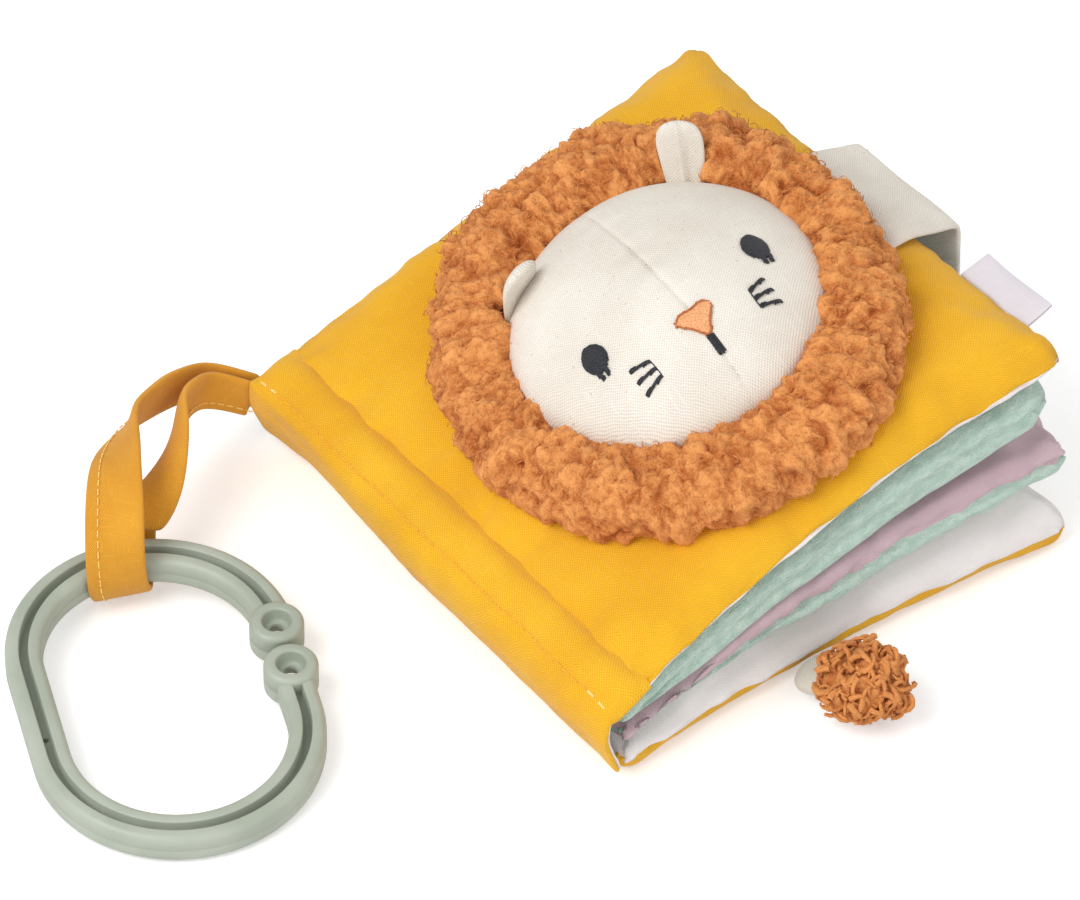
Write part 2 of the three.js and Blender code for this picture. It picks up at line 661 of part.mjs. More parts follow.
function closureStrap() {
  const seat = GAP + STRAP_THICKNESS / 2;
  const lapStart = FRONT.far - STRAP_LAP;
  const lapEnd = FRONT.far - STRAP_LAP / 2;
  const rows = [];
  for (const x of [lapStart, lapEnd]) {
    const z = coverTop(x, 0) + seat / Math.cos(tilt);
    rows.push([V(SPINE_X + x, strapLow, z), V(SPINE_X + x, strapHigh, z)]);
  }
  for (const [out, up] of STRAP_BOW_SHARES) {
    const near = V(SPINE_X + FRONT.far + STRAP_REACH * out, strapLow, strapSeam + STRAP_RISE * up);
    const outFar = STRAP_REACH * out * (STRAP_FAR_SIDE_SHARE + (1 - STRAP_FAR_SIDE_SHARE) * out ** 2);
    rows.push([near, V(SPINE_X + FRONT.far + outFar, strapHigh, strapSeam + STRAP_RISE * up)]);
  }
  rows.push([V(SPINE_X + strapX, strapLow, strapHingeZ), V(SPINE_X + strapX, strapHigh, strapHingeZ)]);
  return band(rows, STRAP_THICKNESS);
}

// Free end of the strap, hanging down the fore-edge from the bend
const flapGap = GAP + STRAP_THICKNESS / 2;
const flapTop = strapHingeZ - flapGap;

function flapPoint(share, y) {
  return V(SPINE_X + strapX - FLAP_INSWING * share ** 2, y, flapTop - FLAP_LENGTH * share);
}

function strapFlap() {
  const rows = FLAP_ROW_SHARES.map((share) => [flapPoint(share, strapLow), flapPoint(share, strapHigh)]);
  return band(rows, STRAP_THICKNESS);
}

function hookPatch() {
  const middleY = (strapLow + strapHigh) / 2;
  const inward = (STRAP_THICKNESS + HOOK_THICKNESS) / 2 + GAP;
  const lowest = 1 - STRAP_THICKNESS / FLAP_LENGTH;
  const rows = [lowest - HOOK_LENGTH / FLAP_LENGTH, lowest].map((share) => [-1, 1].map((s) => {
    const p = flapPoint(share, middleY + (s * HOOK_WIDTH) / 2);
    return V(p.x - inward, p.y, p.z);
  }));
  return band(rows, HOOK_THICKNESS);
}

place('closure_strap', closureStrap(), LINEN);
place('closure_strap_flap', strapFlap(), LINEN);
place('strap_hook_patch', hookPatch(), HOOK_TAPE);

// Folded label in the fore-edge seam
function wovenLabel() {
  const seatX = FRONT.far + GAP;
  const low = -LABEL_BELOW_MIDDLE - LABEL_WIDTH / 2;
  const rows = [0, 1].map((share) => {
    const x = seatX + LABEL_LENGTH * share * Math.cos(tilt);
    const z = seamHeight(FRONT, FRONT.far) + LABEL_LENGTH * share * Math.sin(tilt);
    return [V(SPINE_X + x, low, z), V(SPINE_X + x, low + LABEL_WIDTH, z)];
  });
  return band(rows, LABEL_THICKNESS);
}

place('woven_label', wovenLabel(), LABEL_SATIN);

// Tail: a short stuffed tube from the back cover's tail edge, and its tuft
const tailDrawn = DRAW_IN * (1 - ((TAIL_ALONG - (BACK.near + BACK.far) / 2) / HALF_WIDTH) ** 2);
const tailPivot = V(SPINE_X + TAIL_ALONG, -HALF_HEIGHT + tailDrawn - TAIL_WIDTH / 2 - GAP, BACK.seam);
const tuftMiddle = V(
  tailPivot.x + TAIL_SIDESTEP,
  tailPivot.y - TAIL_LENGTH - TUFT_RADIUS + TAIL_WIDTH / 2,
  TUFT_RADIUS + TUFT_LUMP + GAP,
);

function tailTube() {
  const run = tuftMiddle.clone().sub(tailPivot);
  const reach = run.length() - (TUFT_RADIUS - TUFT_LUMP * TUFT_SEAT_SHARE) - GAP;
  run.normalize();
  const side = V(0, 0, 1).cross(run).normalize();
  const up = run.clone().cross(side).normalize();
  const rings = TAIL_RING_SHARES.map(([step, size]) => {
    const along = step < 0 ? (step * TAIL_WIDTH) / 2 : (reach * step) / TAIL_RING_SHARES.at(-1)[0];
    const ring = [];
    for (let i = 0; i < TAIL_SIDES; i++) {
      const angle = (2 * Math.PI * i) / TAIL_SIDES;
      const p = tailPivot.clone().addScaledVector(run, along);
      p.addScaledVector(side, (TAIL_WIDTH / 2) * size * Math.cos(angle));
      ring.push(p.addScaledVector(up, (TAIL_DEPTH / 2) * size * Math.sin(angle)));
    }
    return ring;
  });
  return loft(rings);
}

function tailTuft() {
  const rings = [];
  for (let i = 1; i < TUFT_RINGS; i++) {
    const polar = (Math.PI * i) / TUFT_RINGS;
    const ring = [];
    for (let j = 0; j < TUFT_SIDES; j++) {
      const angle = (2 * Math.PI * j) / TUFT_SIDES;
      const r = TUFT_RADIUS + TUFT_LUMP * Math.sin(TUFT_LUMPS * angle + i) * Math.sin(polar);
      const flat = r * Math.sin(polar);
      ring.push(V(flat * Math.cos(angle), flat * Math.sin(angle), r * Math.cos(polar)).add(tuftMiddle));
    }
    rings.push(ring);
  }
  const tip = (s) => V(tuftMiddle.x, tuftMiddle.y, tuftMiddle.z + s * TUFT_RADIUS);
  return loft(rings, { startTip: tip(1), endTip: tip(-1) });
}

place('tail_tube', tailTube(), LINEN);
place('tail_tuft', tailTuft(), TEDDY);

// Link ring: a long oval bar with a groove along its top, split between two eyelets
const halfBarWidth = RING_BAR_WIDTH / 2;
const halfBarHeight = RING_BAR_HEIGHT / 2;
const halfLong = RING_STRAIGHT / 2 + RING_HALF_WIDTH;
const eyeletPitch = EYELET_RADIUS + EYELET_SPLIT / 2;

function barSection() {
  const c = RING_CHAMFER;
  return [
    [-halfBarWidth + c, -halfBarHeight], [halfBarWidth - c, -halfBarHeight],
    [halfBarWidth, -halfBarHeight + c], [halfBarWidth, halfBarHeight - c],
    [halfBarWidth - c, halfBarHeight], [GROOVE_WIDTH / 2, halfBarHeight],
    [GROOVE_WIDTH / 2, halfBarHeight - GROOVE_DEPTH], [-GROOVE_WIDTH / 2, halfBarHeight - GROOVE_DEPTH],
    [-GROOVE_WIDTH / 2, halfBarHeight], [-halfBarWidth + c, halfBarHeight],
    [-halfBarWidth, halfBarHeight - c], [-halfBarWidth, -halfBarHeight + c],
  ];
}

// Bar's centre line, from one eyelet right round to the other, with its outward direction
function barStations() {
  const stations = [{ x: RING_HALF_WIDTH, y: SPLIT_OFFSET + eyeletPitch, out: 0 }];
  for (const end of [1, -1]) {
    for (let i = 0; i <= RING_ARC_STEPS; i++) {
      const angle = Math.PI * (i / RING_ARC_STEPS) + (end > 0 ? 0 : Math.PI);
      const y = (end * RING_STRAIGHT) / 2 + RING_HALF_WIDTH * Math.sin(angle);
      stations.push({ x: RING_HALF_WIDTH * Math.cos(angle), y, out: angle });
    }
  }
  stations.push({ x: RING_HALF_WIDTH, y: SPLIT_OFFSET - eyeletPitch, out: 2 * Math.PI });
  return stations;
}

function toSolid(wasm, geometry) {
  const bare = geometry.index ? geometry.toNonIndexed() : geometry.clone();
  bare.deleteAttribute('normal');
  bare.deleteAttribute('uv');
  const merged = mergeVertices(bare);
  return new wasm.Manifold(new wasm.Mesh({
    numProp: 3,
    vertProperties: new Float32Array(merged.attributes.position.array),
    triVerts: new Uint32Array(merged.index.array),
  }));
}

function toGeometry(solid) {
  const mesh = solid.getMesh();
  const geometry = new THREE.BufferGeometry();
  geometry.setAttribute('position', new THREE.BufferAttribute(new Float32Array(mesh.vertProperties), 3));
  geometry.setIndex(new THREE.BufferAttribute(new Uint32Array(mesh.triVerts), 1));
  return geometry;
}

function upright(radius, height, x, y, z, sides) {
  const geometry = new THREE.CylinderGeometry(radius, radius, height, sides);
  return geometry.rotateX(Math.PI / 2).translate(x, y, z);
}

async function linkRing() {
  const wasm = await Module();
  wasm.setup();
  const bar = loft(barStations().map(({ x, y, out }) => barSection().map(([side, up]) => (
    V(x + side * Math.cos(out), y + side * Math.sin(out), up)
  ))));
  let ring = toSolid(wasm, bar);
  const through = EYELET_HEIGHT + CUT_OVERRUN;
  const dishMiddle = EYELET_HEIGHT / 2 - EYELET_DISH_DEPTH / 2 + CUT_OVERRUN / 2;
  for (const step of [eyeletPitch, -eyeletPitch]) {
    const y = SPLIT_OFFSET + step;
    const lift = (EYELET_HEIGHT - RING_BAR_HEIGHT) / 2;
    const stud = (radius, height, z) => {
      return toSolid(wasm, upright(radius, height, RING_HALF_WIDTH, y, z, EYELET_SIDES));
    };
    ring = ring.add(stud(EYELET_RADIUS, EYELET_HEIGHT, lift));
    const dishDepth = EYELET_DISH_DEPTH + CUT_OVERRUN;
    ring = ring.subtract(stud(EYELET_BORE, through, lift));
    ring = ring.subtract(stud(EYELET_DISH_RADIUS, dishDepth, lift + dishMiddle));
  }
  const ventDepth = RING_BAR_HEIGHT + CUT_OVERRUN;
  const vent = upright(VENT_RADIUS, ventDepth, -RING_HALF_WIDTH, -VENT_OFFSET, 0, VENT_SIDES);
  return toGeometry(ring.subtract(toSolid(wasm, vent)));
}

// The ring lies with its far end on the table and its near end on the loop's bend
const wrapReach = LOOP_WIDTH / 2 + LOOP_SLANT;
const arcRise = RING_HALF_WIDTH - Math.sqrt(RING_HALF_WIDTH ** 2 - wrapReach ** 2);
const sweptRadius = Math.hypot(halfBarWidth, halfBarHeight - RING_CHAMFER) + arcRise;
const bendRadius = sweptRadius + LOOP_RUNNING;
const barHeight = bendRadius + LOOP_THICKNESS + LOOP_TABLE_CLEARANCE;
const restLength = 2 * halfLong + halfBarWidth - RING_CHAMFER;
const restReach = Math.hypot(restLength, halfBarHeight);
const ringTilt = Math.asin(barHeight / restReach) - Math.atan2(halfBarHeight, restLength);
const barPlace = V(SPINE_X - RING_FROM_SPINE, HALF_HEIGHT - RING_FROM_HEAD, barHeight);

const ringTurn = new THREE.Group();
ringTurn.position.copy(barPlace);
ringTurn.rotation.z = rad(RING_TURN);
book.add(ringTurn);
const ringLean = new THREE.Group();
ringLean.rotation.x = ringTilt;
ringTurn.add(ringLean);
const ringMesh = place('link_ring', await linkRing(), SAGE_PLASTIC, ringLean);
ringMesh.position.y = -halfLong;

// Hanging loop: two legs of one flat strap, from the spine's head corner to the bend under the bar
const rootSweep = (LOOP_ROOT_SPREAD + LOOP_THICKNESS) / 2;
const loopRoot = V(SPINE_X - GAP, HALF_HEIGHT + GAP + rootSweep, LOOP_ROOT_HEIGHT);
const barAlong = V(Math.cos(rad(RING_TURN)), Math.sin(rad(RING_TURN)), 0);
const barAcross = V(-Math.sin(rad(RING_TURN)), Math.cos(rad(RING_TURN)), 0);

function loopRoute() {
  const reach = loopRoot.x - barPlace.x;
  const back = loopRoot.y - barPlace.y;
  const peak = LOOP_PEAK - LOOP_ROOT_HEIGHT;
  const points = [loopRoot.clone()];
  for (const [outShare, sideShare, upShare] of LOOP_ROUTE_SHARES) {
    const y = sideShare > 0 ? loopRoot.y + LOOP_SWELL_OUT * sideShare : loopRoot.y + back * sideShare;
    points.push(V(loopRoot.x - reach * outShare, y, LOOP_ROOT_HEIGHT + peak * upShare));
  }
  points.push(V(barPlace.x, barPlace.y, barPlace.z + LOOP_DROP_SHARE * bendRadius));
  points.push(barPlace.clone());
  return new THREE.CatmullRomCurve3(points, false, 'centripetal');
}

function hangingLoop() {
  const route = loopRoute();
  const clear = bendRadius + LOOP_THICKNESS / 2;
  const legs = { 1: [], '-1': [] };
  for (let i = 0; i <= LEG_STEPS; i++) {
    const t = i / LEG_STEPS;
    const middle = route.getPoint(t);
    const run = route.getTangent(t);
    const ease = smooth(t, LOOP_TWIST_SHARES);
    const across = V(0, 0, 1).lerp(barAlong, ease);
    if (i === LEG_STEPS) {
      run.set(0, 0, -1);
    }
    const normal = run.clone().cross(across).normalize();
    across.copy(normal.clone().cross(run)).normalize();
    const spread = mix(LOOP_ROOT_SPREAD / 2, clear, smooth(t, LOOP_SPREAD_SHARES));
    const wide = mix(LOOP_ROOT_WIDTH, LOOP_WIDTH, smooth(t, LOOP_WIDEN_SHARES));
    const aside = LOOP_SLANT * smooth(t, LOOP_SLANT_SHARES);
    for (const s of [1, -1]) {
      const p = middle.clone().addScaledVector(normal, s * spread);
      p.addScaledVector(barAlong, -s * aside);
      legs[s].push([-1, 1].map((w) => p.clone().addScaledVector(across, (w * wide) / 2)));
    }
  }
  const wrap = [];
  for (let i = 1; i < WRAP_STEPS; i++) {
    const angle = (Math.PI * i) / WRAP_STEPS;
    const p = barPlace.clone().addScaledVector(barAcross, -clear * Math.cos(angle));
    p.z -= clear * Math.sin(angle);
    p.addScaledVector(barAlong, LOOP_SLANT * ((2 * i) / WRAP_STEPS - 1));
    const sign = Math.sign(legs[1].at(-1)[1].clone().sub(legs[1].at(-1)[0]).dot(barAlong));
    wrap.push([-1, 1].map((w) => p.clone().addScaledVector(barAlong, (sign * w * LOOP_WIDTH) / 2)));
  }
  return band([...legs[1], ...wrap, ...legs[-1].reverse()], LOOP_THICKNESS);
}

place('hanging_loop', hangingLoop(), MUSTARD);

export default book;
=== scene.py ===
import math
import bmesh
import bpy
import numpy as np
from mathutils import Matrix, Vector, noise


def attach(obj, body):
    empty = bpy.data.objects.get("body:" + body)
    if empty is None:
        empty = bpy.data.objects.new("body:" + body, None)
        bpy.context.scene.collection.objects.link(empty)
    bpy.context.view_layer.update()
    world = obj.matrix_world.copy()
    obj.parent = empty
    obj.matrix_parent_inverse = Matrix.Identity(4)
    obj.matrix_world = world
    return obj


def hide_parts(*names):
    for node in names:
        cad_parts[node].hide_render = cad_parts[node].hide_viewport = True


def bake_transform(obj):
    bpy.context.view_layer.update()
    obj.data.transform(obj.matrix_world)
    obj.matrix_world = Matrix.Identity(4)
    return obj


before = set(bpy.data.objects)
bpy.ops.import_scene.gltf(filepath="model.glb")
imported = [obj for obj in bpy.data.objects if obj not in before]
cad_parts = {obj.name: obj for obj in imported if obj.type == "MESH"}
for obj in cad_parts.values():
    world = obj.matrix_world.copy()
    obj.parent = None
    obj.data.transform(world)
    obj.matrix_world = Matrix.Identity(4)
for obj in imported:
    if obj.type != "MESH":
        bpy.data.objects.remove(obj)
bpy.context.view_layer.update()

# Studio: a long lens looks down on the book from beyond its spine and tail corner,
# over a plain pale floor, with one broad soft lamp, two weaker ones and an even sky.
LOOK_AT = Vector((-0.02812, 0.01366, 0.020))
LOOK_AZIMUTH = math.radians(-36.27)
LOOK_ELEVATION = math.radians(42.73)
LOOK_DISTANCE = 1.5324
LENS_MM = 209.4
SKY_STRENGTH = 0.62
FLOOR_SIZE = 6.0
FLOOR_DROP = 0.0006
FLOOR_GLOW = 0.34
FLOOR_GREY = (0.86, 0.86, 0.86, 1)
WHITE = (1, 1, 1, 1)


def outwards(azimuth, elevation):
    flat = math.cos(elevation)
    return Vector((math.sin(azimuth) * flat, -math.cos(azimuth) * flat, math.sin(elevation)))


def aim(thing, back):
    thing.rotation_mode = "QUATERNION"
    thing.rotation_quaternion = (-back).to_track_quat("-Z", "Y")


def placed(name, data):
    made = bpy.data.objects.new(name, data)
    bpy.context.scene.collection.objects.link(made)
    return made


camera = placed("camera", bpy.data.cameras.new("camera"))
camera.data.lens = LENS_MM
camera.data.sensor_width = 36
camera.data.clip_start = 0.05
camera.location = LOOK_AT + outwards(LOOK_AZIMUTH, LOOK_ELEVATION) * LOOK_DISTANCE
aim(camera, outwards(LOOK_AZIMUTH, LOOK_ELEVATION))
bpy.context.scene.camera = camera
bpy.context.scene.view_settings.view_transform = "Standard"


def soft_lamp(name, azimuth, elevation, distance, size, power):
    lamp = placed(name, bpy.data.lights.new(name, "AREA"))
    lamp.data.size = size
    lamp.data.energy = power
    back = outwards(math.radians(azimuth), math.radians(elevation))
    lamp.location = LOOK_AT + back * distance
    aim(lamp, back)


soft_lamp("key_lamp", -88, 50, 1.5, 0.9, 14)
soft_lamp("front_lamp", -14, 19, 1.6, 1.3, 5.5)
soft_lamp("fill_lamp", 55, 35, 1.8, 1.4, 3)


def wire(tree, *pairs):
    for source, target in pairs:
        tree.links.new(source, target)


def set_inputs(node, **values):
    for label, value in values.items():
        node.inputs[label.replace("_", " ")].default_value = value


sky = bpy.data.worlds.new("sky")
bpy.context.scene.world = sky
sky.use_nodes = True
sky_nodes = sky.node_tree.nodes
sky_light = sky_nodes["Background"]
sky_white = sky_nodes.new("ShaderNodeBackground")
set_inputs(sky_light, Strength=SKY_STRENGTH, Color=WHITE)
set_inputs(sky_white, Color=WHITE)
sky_rays = sky_nodes.new("ShaderNodeLightPath")
sky_mix = sky_nodes.new("ShaderNodeMixShader")
wire(
    sky.node_tree,
    (sky_rays.outputs["Is Camera Ray"], sky_mix.inputs["Fac"]),
    (sky_light.outputs[0], sky_mix.inputs[1]),
    (sky_white.outputs[0], sky_mix.inputs[2]),
    (sky_mix.outputs[0], sky_nodes["World Output"].inputs["Surface"]),
)

floor_mesh = bpy.data.meshes.new("floor")
reach = FLOOR_SIZE / 2
corners = [(-reach, -reach), (reach, -reach), (reach, reach), (-reach, reach)]
floor_mesh.from_pydata([(x, y, -FLOOR_DROP) for x, y in corners], [], [(0, 1, 2, 3)])
floor = placed("floor", floor_mesh)
floor_paint = bpy.data.materials.new("pale_floor")
floor_paint.use_nodes = True
floor_tree = floor_paint.node_tree
floor_shader = floor_tree.nodes["Principled BSDF"]
set_inputs(floor_shader, Base_Color=FLOOR_GREY, Roughness=0.9, Emission_Color=WHITE)
floor_rays = floor_tree.nodes.new("ShaderNodeLightPath")
floor_lift = floor_tree.nodes.new("ShaderNodeMath")
floor_lift.operation = "MULTIPLY"
floor_lift.inputs[1].default_value = FLOOR_GLOW
wire(
    floor_tree,
    (floor_rays.outputs["Is Camera Ray"], floor_lift.inputs[0]),
    (floor_lift.outputs[0], floor_shader.inputs["Emission Strength"]),
)
floor_mesh.materials.append(floor_paint)


# Covers and leaves: two covers of mustard cotton lined with white cotton, a lower leaf of
# mauve cotton backed with mint plush and an upper leaf of mint plush on both sides. Each is
# two cloths sewn face to face, turned out through a gap and stuffed with thin wadding.
COVER_WIDTH = 0.140
HALF_HEIGHT = 0.073
SPINE_X = -0.070
CORNER_RADIUS = 0.0058
EDGE_ROLL = 0.013
LEAF_ROLL = 0.0042
UNDER_ROLL = 0.0020
TAIL_DRAWN_IN = 0.0032
HEAD_DRAWN_IN = 0.0013
SPINE_PULL = 0.0030
CELL = 0.0030
EDGE_ROWS = [0, 0.0003, 0.0010, 0.0020, 0.0035, 0.0056, 0.0084, 0.0116]
PAD_PRESSURE = 4
PAD_FRAMES = 20
PAD_MOST = 0.0011
PULL_START = 0.005
PULL_RUN = 0.057
PULL_TOP = 0.0235
PULL_FADE = 0.006
FLARE_START = 0.060
FLARE_RUN = 0.013
FLARE = 0.8
DRIFT_SIZE = 0.05
FRONT_TILT = 16.6
SPINE_PULL_REACH = 0.02
BACK_PULL = 0.7


def panel(tilt, **facts):
    return dict(facts, slope=math.tan(math.radians(tilt)))


FRONT = panel(
    tilt=FRONT_TILT, near=0.004, far=0.13433, seam=0.0222, bow=0.004, crowns=(0.0075, 0.0046),
    at_spine=(0.62, 0.56), slack=0.0004, roll=(EDGE_ROLL, EDGE_ROLL), tuck=0.0008,
)
LEAF_A = panel(
    tilt=15.1, near=0.0018, far=0.13131, seam=0.01669, bow=0, crowns=(0.0050, 0.0066),
    at_spine=(0.56, 0.34), slack=0.0003, roll=(LEAF_ROLL, UNDER_ROLL), tuck=0.0040,
)
LEAF_B = panel(
    tilt=7.1, near=0.0018, far=0.13894, seam=0.01210, bow=0.002, crowns=(0.0056, 0.0055),
    at_spine=(0.34, 0.34), slack=0.0004, roll=(LEAF_ROLL, UNDER_ROLL), tuck=0.0030,
)
BACK = panel(
    tilt=0, near=0.0026, far=0.140, seam=0.0050, bow=0, crowns=(0.0115, 0.0055),
    at_spine=(0.45, 1.0), slack=0.0006, roll=(EDGE_ROLL, 1.6 * UNDER_ROLL), tuck=0.0010,
)


def share_of(value):
    return min(max(value, 0), 1)


def softened(share):
    return share * share * (3 - 2 * share)


def span(p):
    return (p["near"] + p["far"]) / 2, (p["far"] - p["near"]) / 2


def seam_height(p, x):
    share = share_of(x / COVER_WIDTH)
    return p["seam"] + x * p["slope"] + p["bow"] * 4 * share * (1 - share)


def crown_height(p, side, x):
    k = 0 if side > 0 else 1
    share = share_of(x / COVER_WIDTH)
    least = p["at_spine"][k]
    return p["crowns"][k] * (least + (1 - least) * math.sin(math.pi / 2 * share))


def roll_share(inset, roll=EDGE_ROLL):
    left = 1 - share_of(inset / roll)
    return math.sqrt(1 - left * left)


def edge_inset(p, x, y):
    middle, half = span(p)
    dx = abs(x - middle) - half + CORNER_RADIUS
    dy = abs(y) - HALF_HEIGHT + CORNER_RADIUS
    return CORNER_RADIUS - math.hypot(max(dx, 0), max(dy, 0)) - min(max(dx, dy), 0)


# The book's head end is slimmer along the spine than its tail end
def spine_pull(y, z):
    share = softened(share_of((y - PULL_START) / PULL_RUN))
    level = share_of((PULL_TOP - z) / PULL_FADE)
    flare = FLARE * share_of((y - FLARE_START) / FLARE_RUN)
    return SPINE_PULL * share * level * (1 - flare)


def drawn_in(p, x, y):
    middle, half = span(p)
    along_x = max(1 - ((x - middle) / half) ** 2, 0)
    along_y = max(1 - (y / HALF_HEIGHT) ** 2, 0)
    pull = HEAD_DRAWN_IN if y > 0 else TAIL_DRAWN_IN
    side_pull = HEAD_DRAWN_IN * along_y * max((x - middle) / half, 0)
    if p is BACK:
        side_pull -= BACK_PULL * spine_pull(y, 0) * max(1 - x / SPINE_PULL_REACH, 0)
    return x - side_pull, y - pull * along_x * y / HALF_HEIGHT


def cushion_point(p, side, x, y, depth=0):
    rolled = roll_share(edge_inset(p, x, y), p["roll"][0 if side > 0 else 1])
    swell = max(crown_height(p, side, x) - depth, 0) * rolled
    px, py = drawn_in(p, x, y)
    z = seam_height(p, x) + side * swell
    return Vector((SPINE_X + px, py, max(z, 0) if p is BACK else z))


def edge_rows(length):
    inner = EDGE_ROWS[-1]
    count = round((length - 2 * inner) / CELL)
    middle = [inner + (length - 2 * inner) * i / count for i in range(1, count)]
    return EDGE_ROWS + middle + [length - e for e in reversed(EDGE_ROWS)]


def into_corner(p, x, y):
    middle, half = span(p)
    past_x = max(abs(x - middle) - half + CORNER_RADIUS, 0)
    corner = Vector((past_x, max(abs(y) - HALF_HEIGHT + CORNER_RADIUS, 0)))
    if corner.length <= CORNER_RADIUS:
        return x, y
    pulled = corner * (CORNER_RADIUS / corner.length)
    return x - math.copysign(corner.x - pulled.x, x - middle), y - math.copysign(corner.y - pulled.y, y)


# Meshes: a made mesh joins the scene as an object, and its modifiers are settled into it
def mesh_object(name, points, faces, materials=(), edges=()):
    mesh = bpy.data.meshes.new(name)
    mesh.from_pydata(points, edges, faces)
    for material in materials:
        mesh.materials.append(material)
    mesh.shade_smooth()
    return placed(name, mesh)


def settled(made):
    evaluated = made.evaluated_get(bpy.context.evaluated_depsgraph_get())
    mesh = bpy.data.meshes.new_from_object(evaluated)
    made.modifiers.clear()
    old = made.data
    made.data = mesh
    bpy.data.meshes.remove(old)
    return made


def subdivide(made, levels=1):
    modifier = made.modifiers.new("finer", "SUBSURF")
    modifier.levels = levels
    modifier.render_levels = levels
    bpy.context.view_layer.update()
    return settled(made)


def panel_cushion(name, p, materials):
    xs = [p["near"] + d for d in edge_rows(p["far"] - p["near"])]
    ys = [-HALF_HEIGHT + d for d in edge_rows(2 * HALF_HEIGHT)]
    last_x, last_y = len(xs) - 1, len(ys) - 1
    points, flats, index = [], [], {}
    for side in (1, -1):
        for i, x in enumerate(xs):
            for j, y in enumerate(ys):
                rim = i in (0, last_x) or j in (0, last_y)
                if rim and side < 0:
                    index[side, i, j] = index[1, i, j]
                    continue
                fx, fy = into_corner(p, x, y)
                point = cushion_point(p, side, fx, fy, p["slack"])
                if rim:
                    inwards = Vector((span(p)[0] + SPINE_X - point.x, -point.y, 0))
                    point += inwards.normalized() * p["tuck"]
                index[side, i, j] = len(points)
                points.append(point)
                flats.append((fx, fy, 0 if rim else side))
    faces, sides = [], []
    for side in (1, -1):
        for i in range(last_x):
            for j in range(last_y):
                ring = [index[side, i + a, j + b] for a, b in ((0, 0), (1, 0), (1, 1), (0, 1))]
                faces.append(ring if side > 0 else ring[::-1])
                sides.append(0 if side > 0 else 1)
    made = mesh_object(name, points, faces, materials)
    made.data.polygons.foreach_set("material_index", sides)
    flat = made.data.attributes.new("flat", "FLOAT_VECTOR", "POINT")
    flat.data.foreach_set("vector", np.array(flats, np.float32).ravel())
    seam = made.vertex_groups.new(name="seam")
    seam.add([k for k, f in enumerate(flats) if f[2] == 0], 1, "ADD")
    return made


def read_vectors(rows, field):
    found = np.zeros(len(rows) * 3, np.float32)
    rows.foreach_get(field, found)
    return found.reshape(-1, 3)


def stuff_with_wadding(pads):
    scene = bpy.context.scene
    for pad in pads:
        cloth = pad.modifiers.new("filling", "CLOTH")
        settings = cloth.settings
        settings.quality = 5
        settings.mass = 0.2
        settings.use_pressure = True
        settings.uniform_pressure_force = PAD_PRESSURE
        settings.tension_stiffness = 12
        settings.compression_stiffness = 12
        settings.bending_stiffness = 0.15
        settings.shrink_min = -0.03
        settings.vertex_group_mass = "seam"
        settings.pin_stiffness = 1
        settings.effector_weights.gravity = 0
        cloth.point_cache.frame_start = 1
        cloth.point_cache.frame_end = PAD_FRAMES
    for step in range(1, PAD_FRAMES + 1):
        scene.frame_set(step)
    for pad in pads:
        start = read_vectors(pad.data.vertices, "co")
        settled(pad)
        moved = read_vectors(pad.data.vertices, "co") - start
        length = np.linalg.norm(moved, axis=1, keepdims=True) + 1e-9
        share = np.tanh(length / PAD_MOST) * PAD_MOST / length
        pad.data.vertices.foreach_set("co", (start + moved * share).ravel())
    scene.frame_set(1)


# Small folds that run in from the seams, where the thread draws the cloth up
UNDER_CALM = 0.7


def pucker(made, p, depth, pitch, reach, seed):
    mesh = made.data
    flat = read_vectors(mesh.attributes["flat"].data, "vector")
    here = read_vectors(mesh.vertices, "co")
    normals = read_vectors(mesh.vertices, "normal")
    for k, (x, y, side) in enumerate(flat):
        inset = max(edge_inset(p, x, y), 0)
        from_x = min(x - p["near"], p["far"] - x)
        from_y = HALF_HEIGHT - abs(y)
        along = x if from_y < from_x else y
        which = 7.3 if from_y < from_x else 1.9
        place = Vector((along / pitch, which + math.copysign(2, y) + side, seed + inset / (6 * pitch)))
        fold = noise.noise(place) + 0.5 * noise.noise(place * 2.1)
        fade = math.exp(-((inset / reach) ** 2))
        wander = noise.noise(Vector((along / (3 * pitch), which, seed + 9)))
        wander *= 1 - min(inset / EDGE_ROLL, 1)
        drift = noise.noise(Vector((x / DRIFT_SIZE, y / DRIFT_SIZE, seed + side * 3)))
        swell = depth * (fold * fade + 0.6 * drift * (1 - fade) + 0.5 * wander)
        here[k] += normals[k] * swell * (1 - UNDER_CALM * max(-side, 0))
    if p is BACK:
        here[:, 2] = np.maximum(here[:, 2], 0)
    mesh.vertices.foreach_set("co", here.ravel())


def lay_flat_map(made, p):
    mesh = made.data
    flat = read_vectors(mesh.attributes["flat"].data, "vector")
    layer = mesh.uv_layers.new(name="cut")
    middle = span(p)[0]
    for polygon in mesh.polygons:
        side = 1 if polygon.material_index == 0 else -1
        for corner in polygon.loop_indices:
            x, y, _ = flat[mesh.loops[corner].vertex_index]
            hidden = roll_share(max(edge_inset(p, x, y), 0), p["roll"][0 if side > 0 else 1])
            run = crown_height(p, side, x) * (1 - hidden)
            if HALF_HEIGHT - abs(y) < min(x - p["near"], p["far"] - x):
                y += math.copysign(run, y)
            else:
                x += math.copysign(run, x - middle)
            layer.data[corner].uv = (x, y)


# Finishes: paint takes a screen colour's levels, and the functions below join up nodes
def paint(*levels):
    return tuple(((c / 255 + 0.055) / 1.055) ** 2.4 if c > 10 else c / 3294 for c in levels) + (1,)


VECTOR, FLOAT, GEOMETRY = "NodeSocketVector", "NodeSocketFloat", "NodeSocketGeometry"


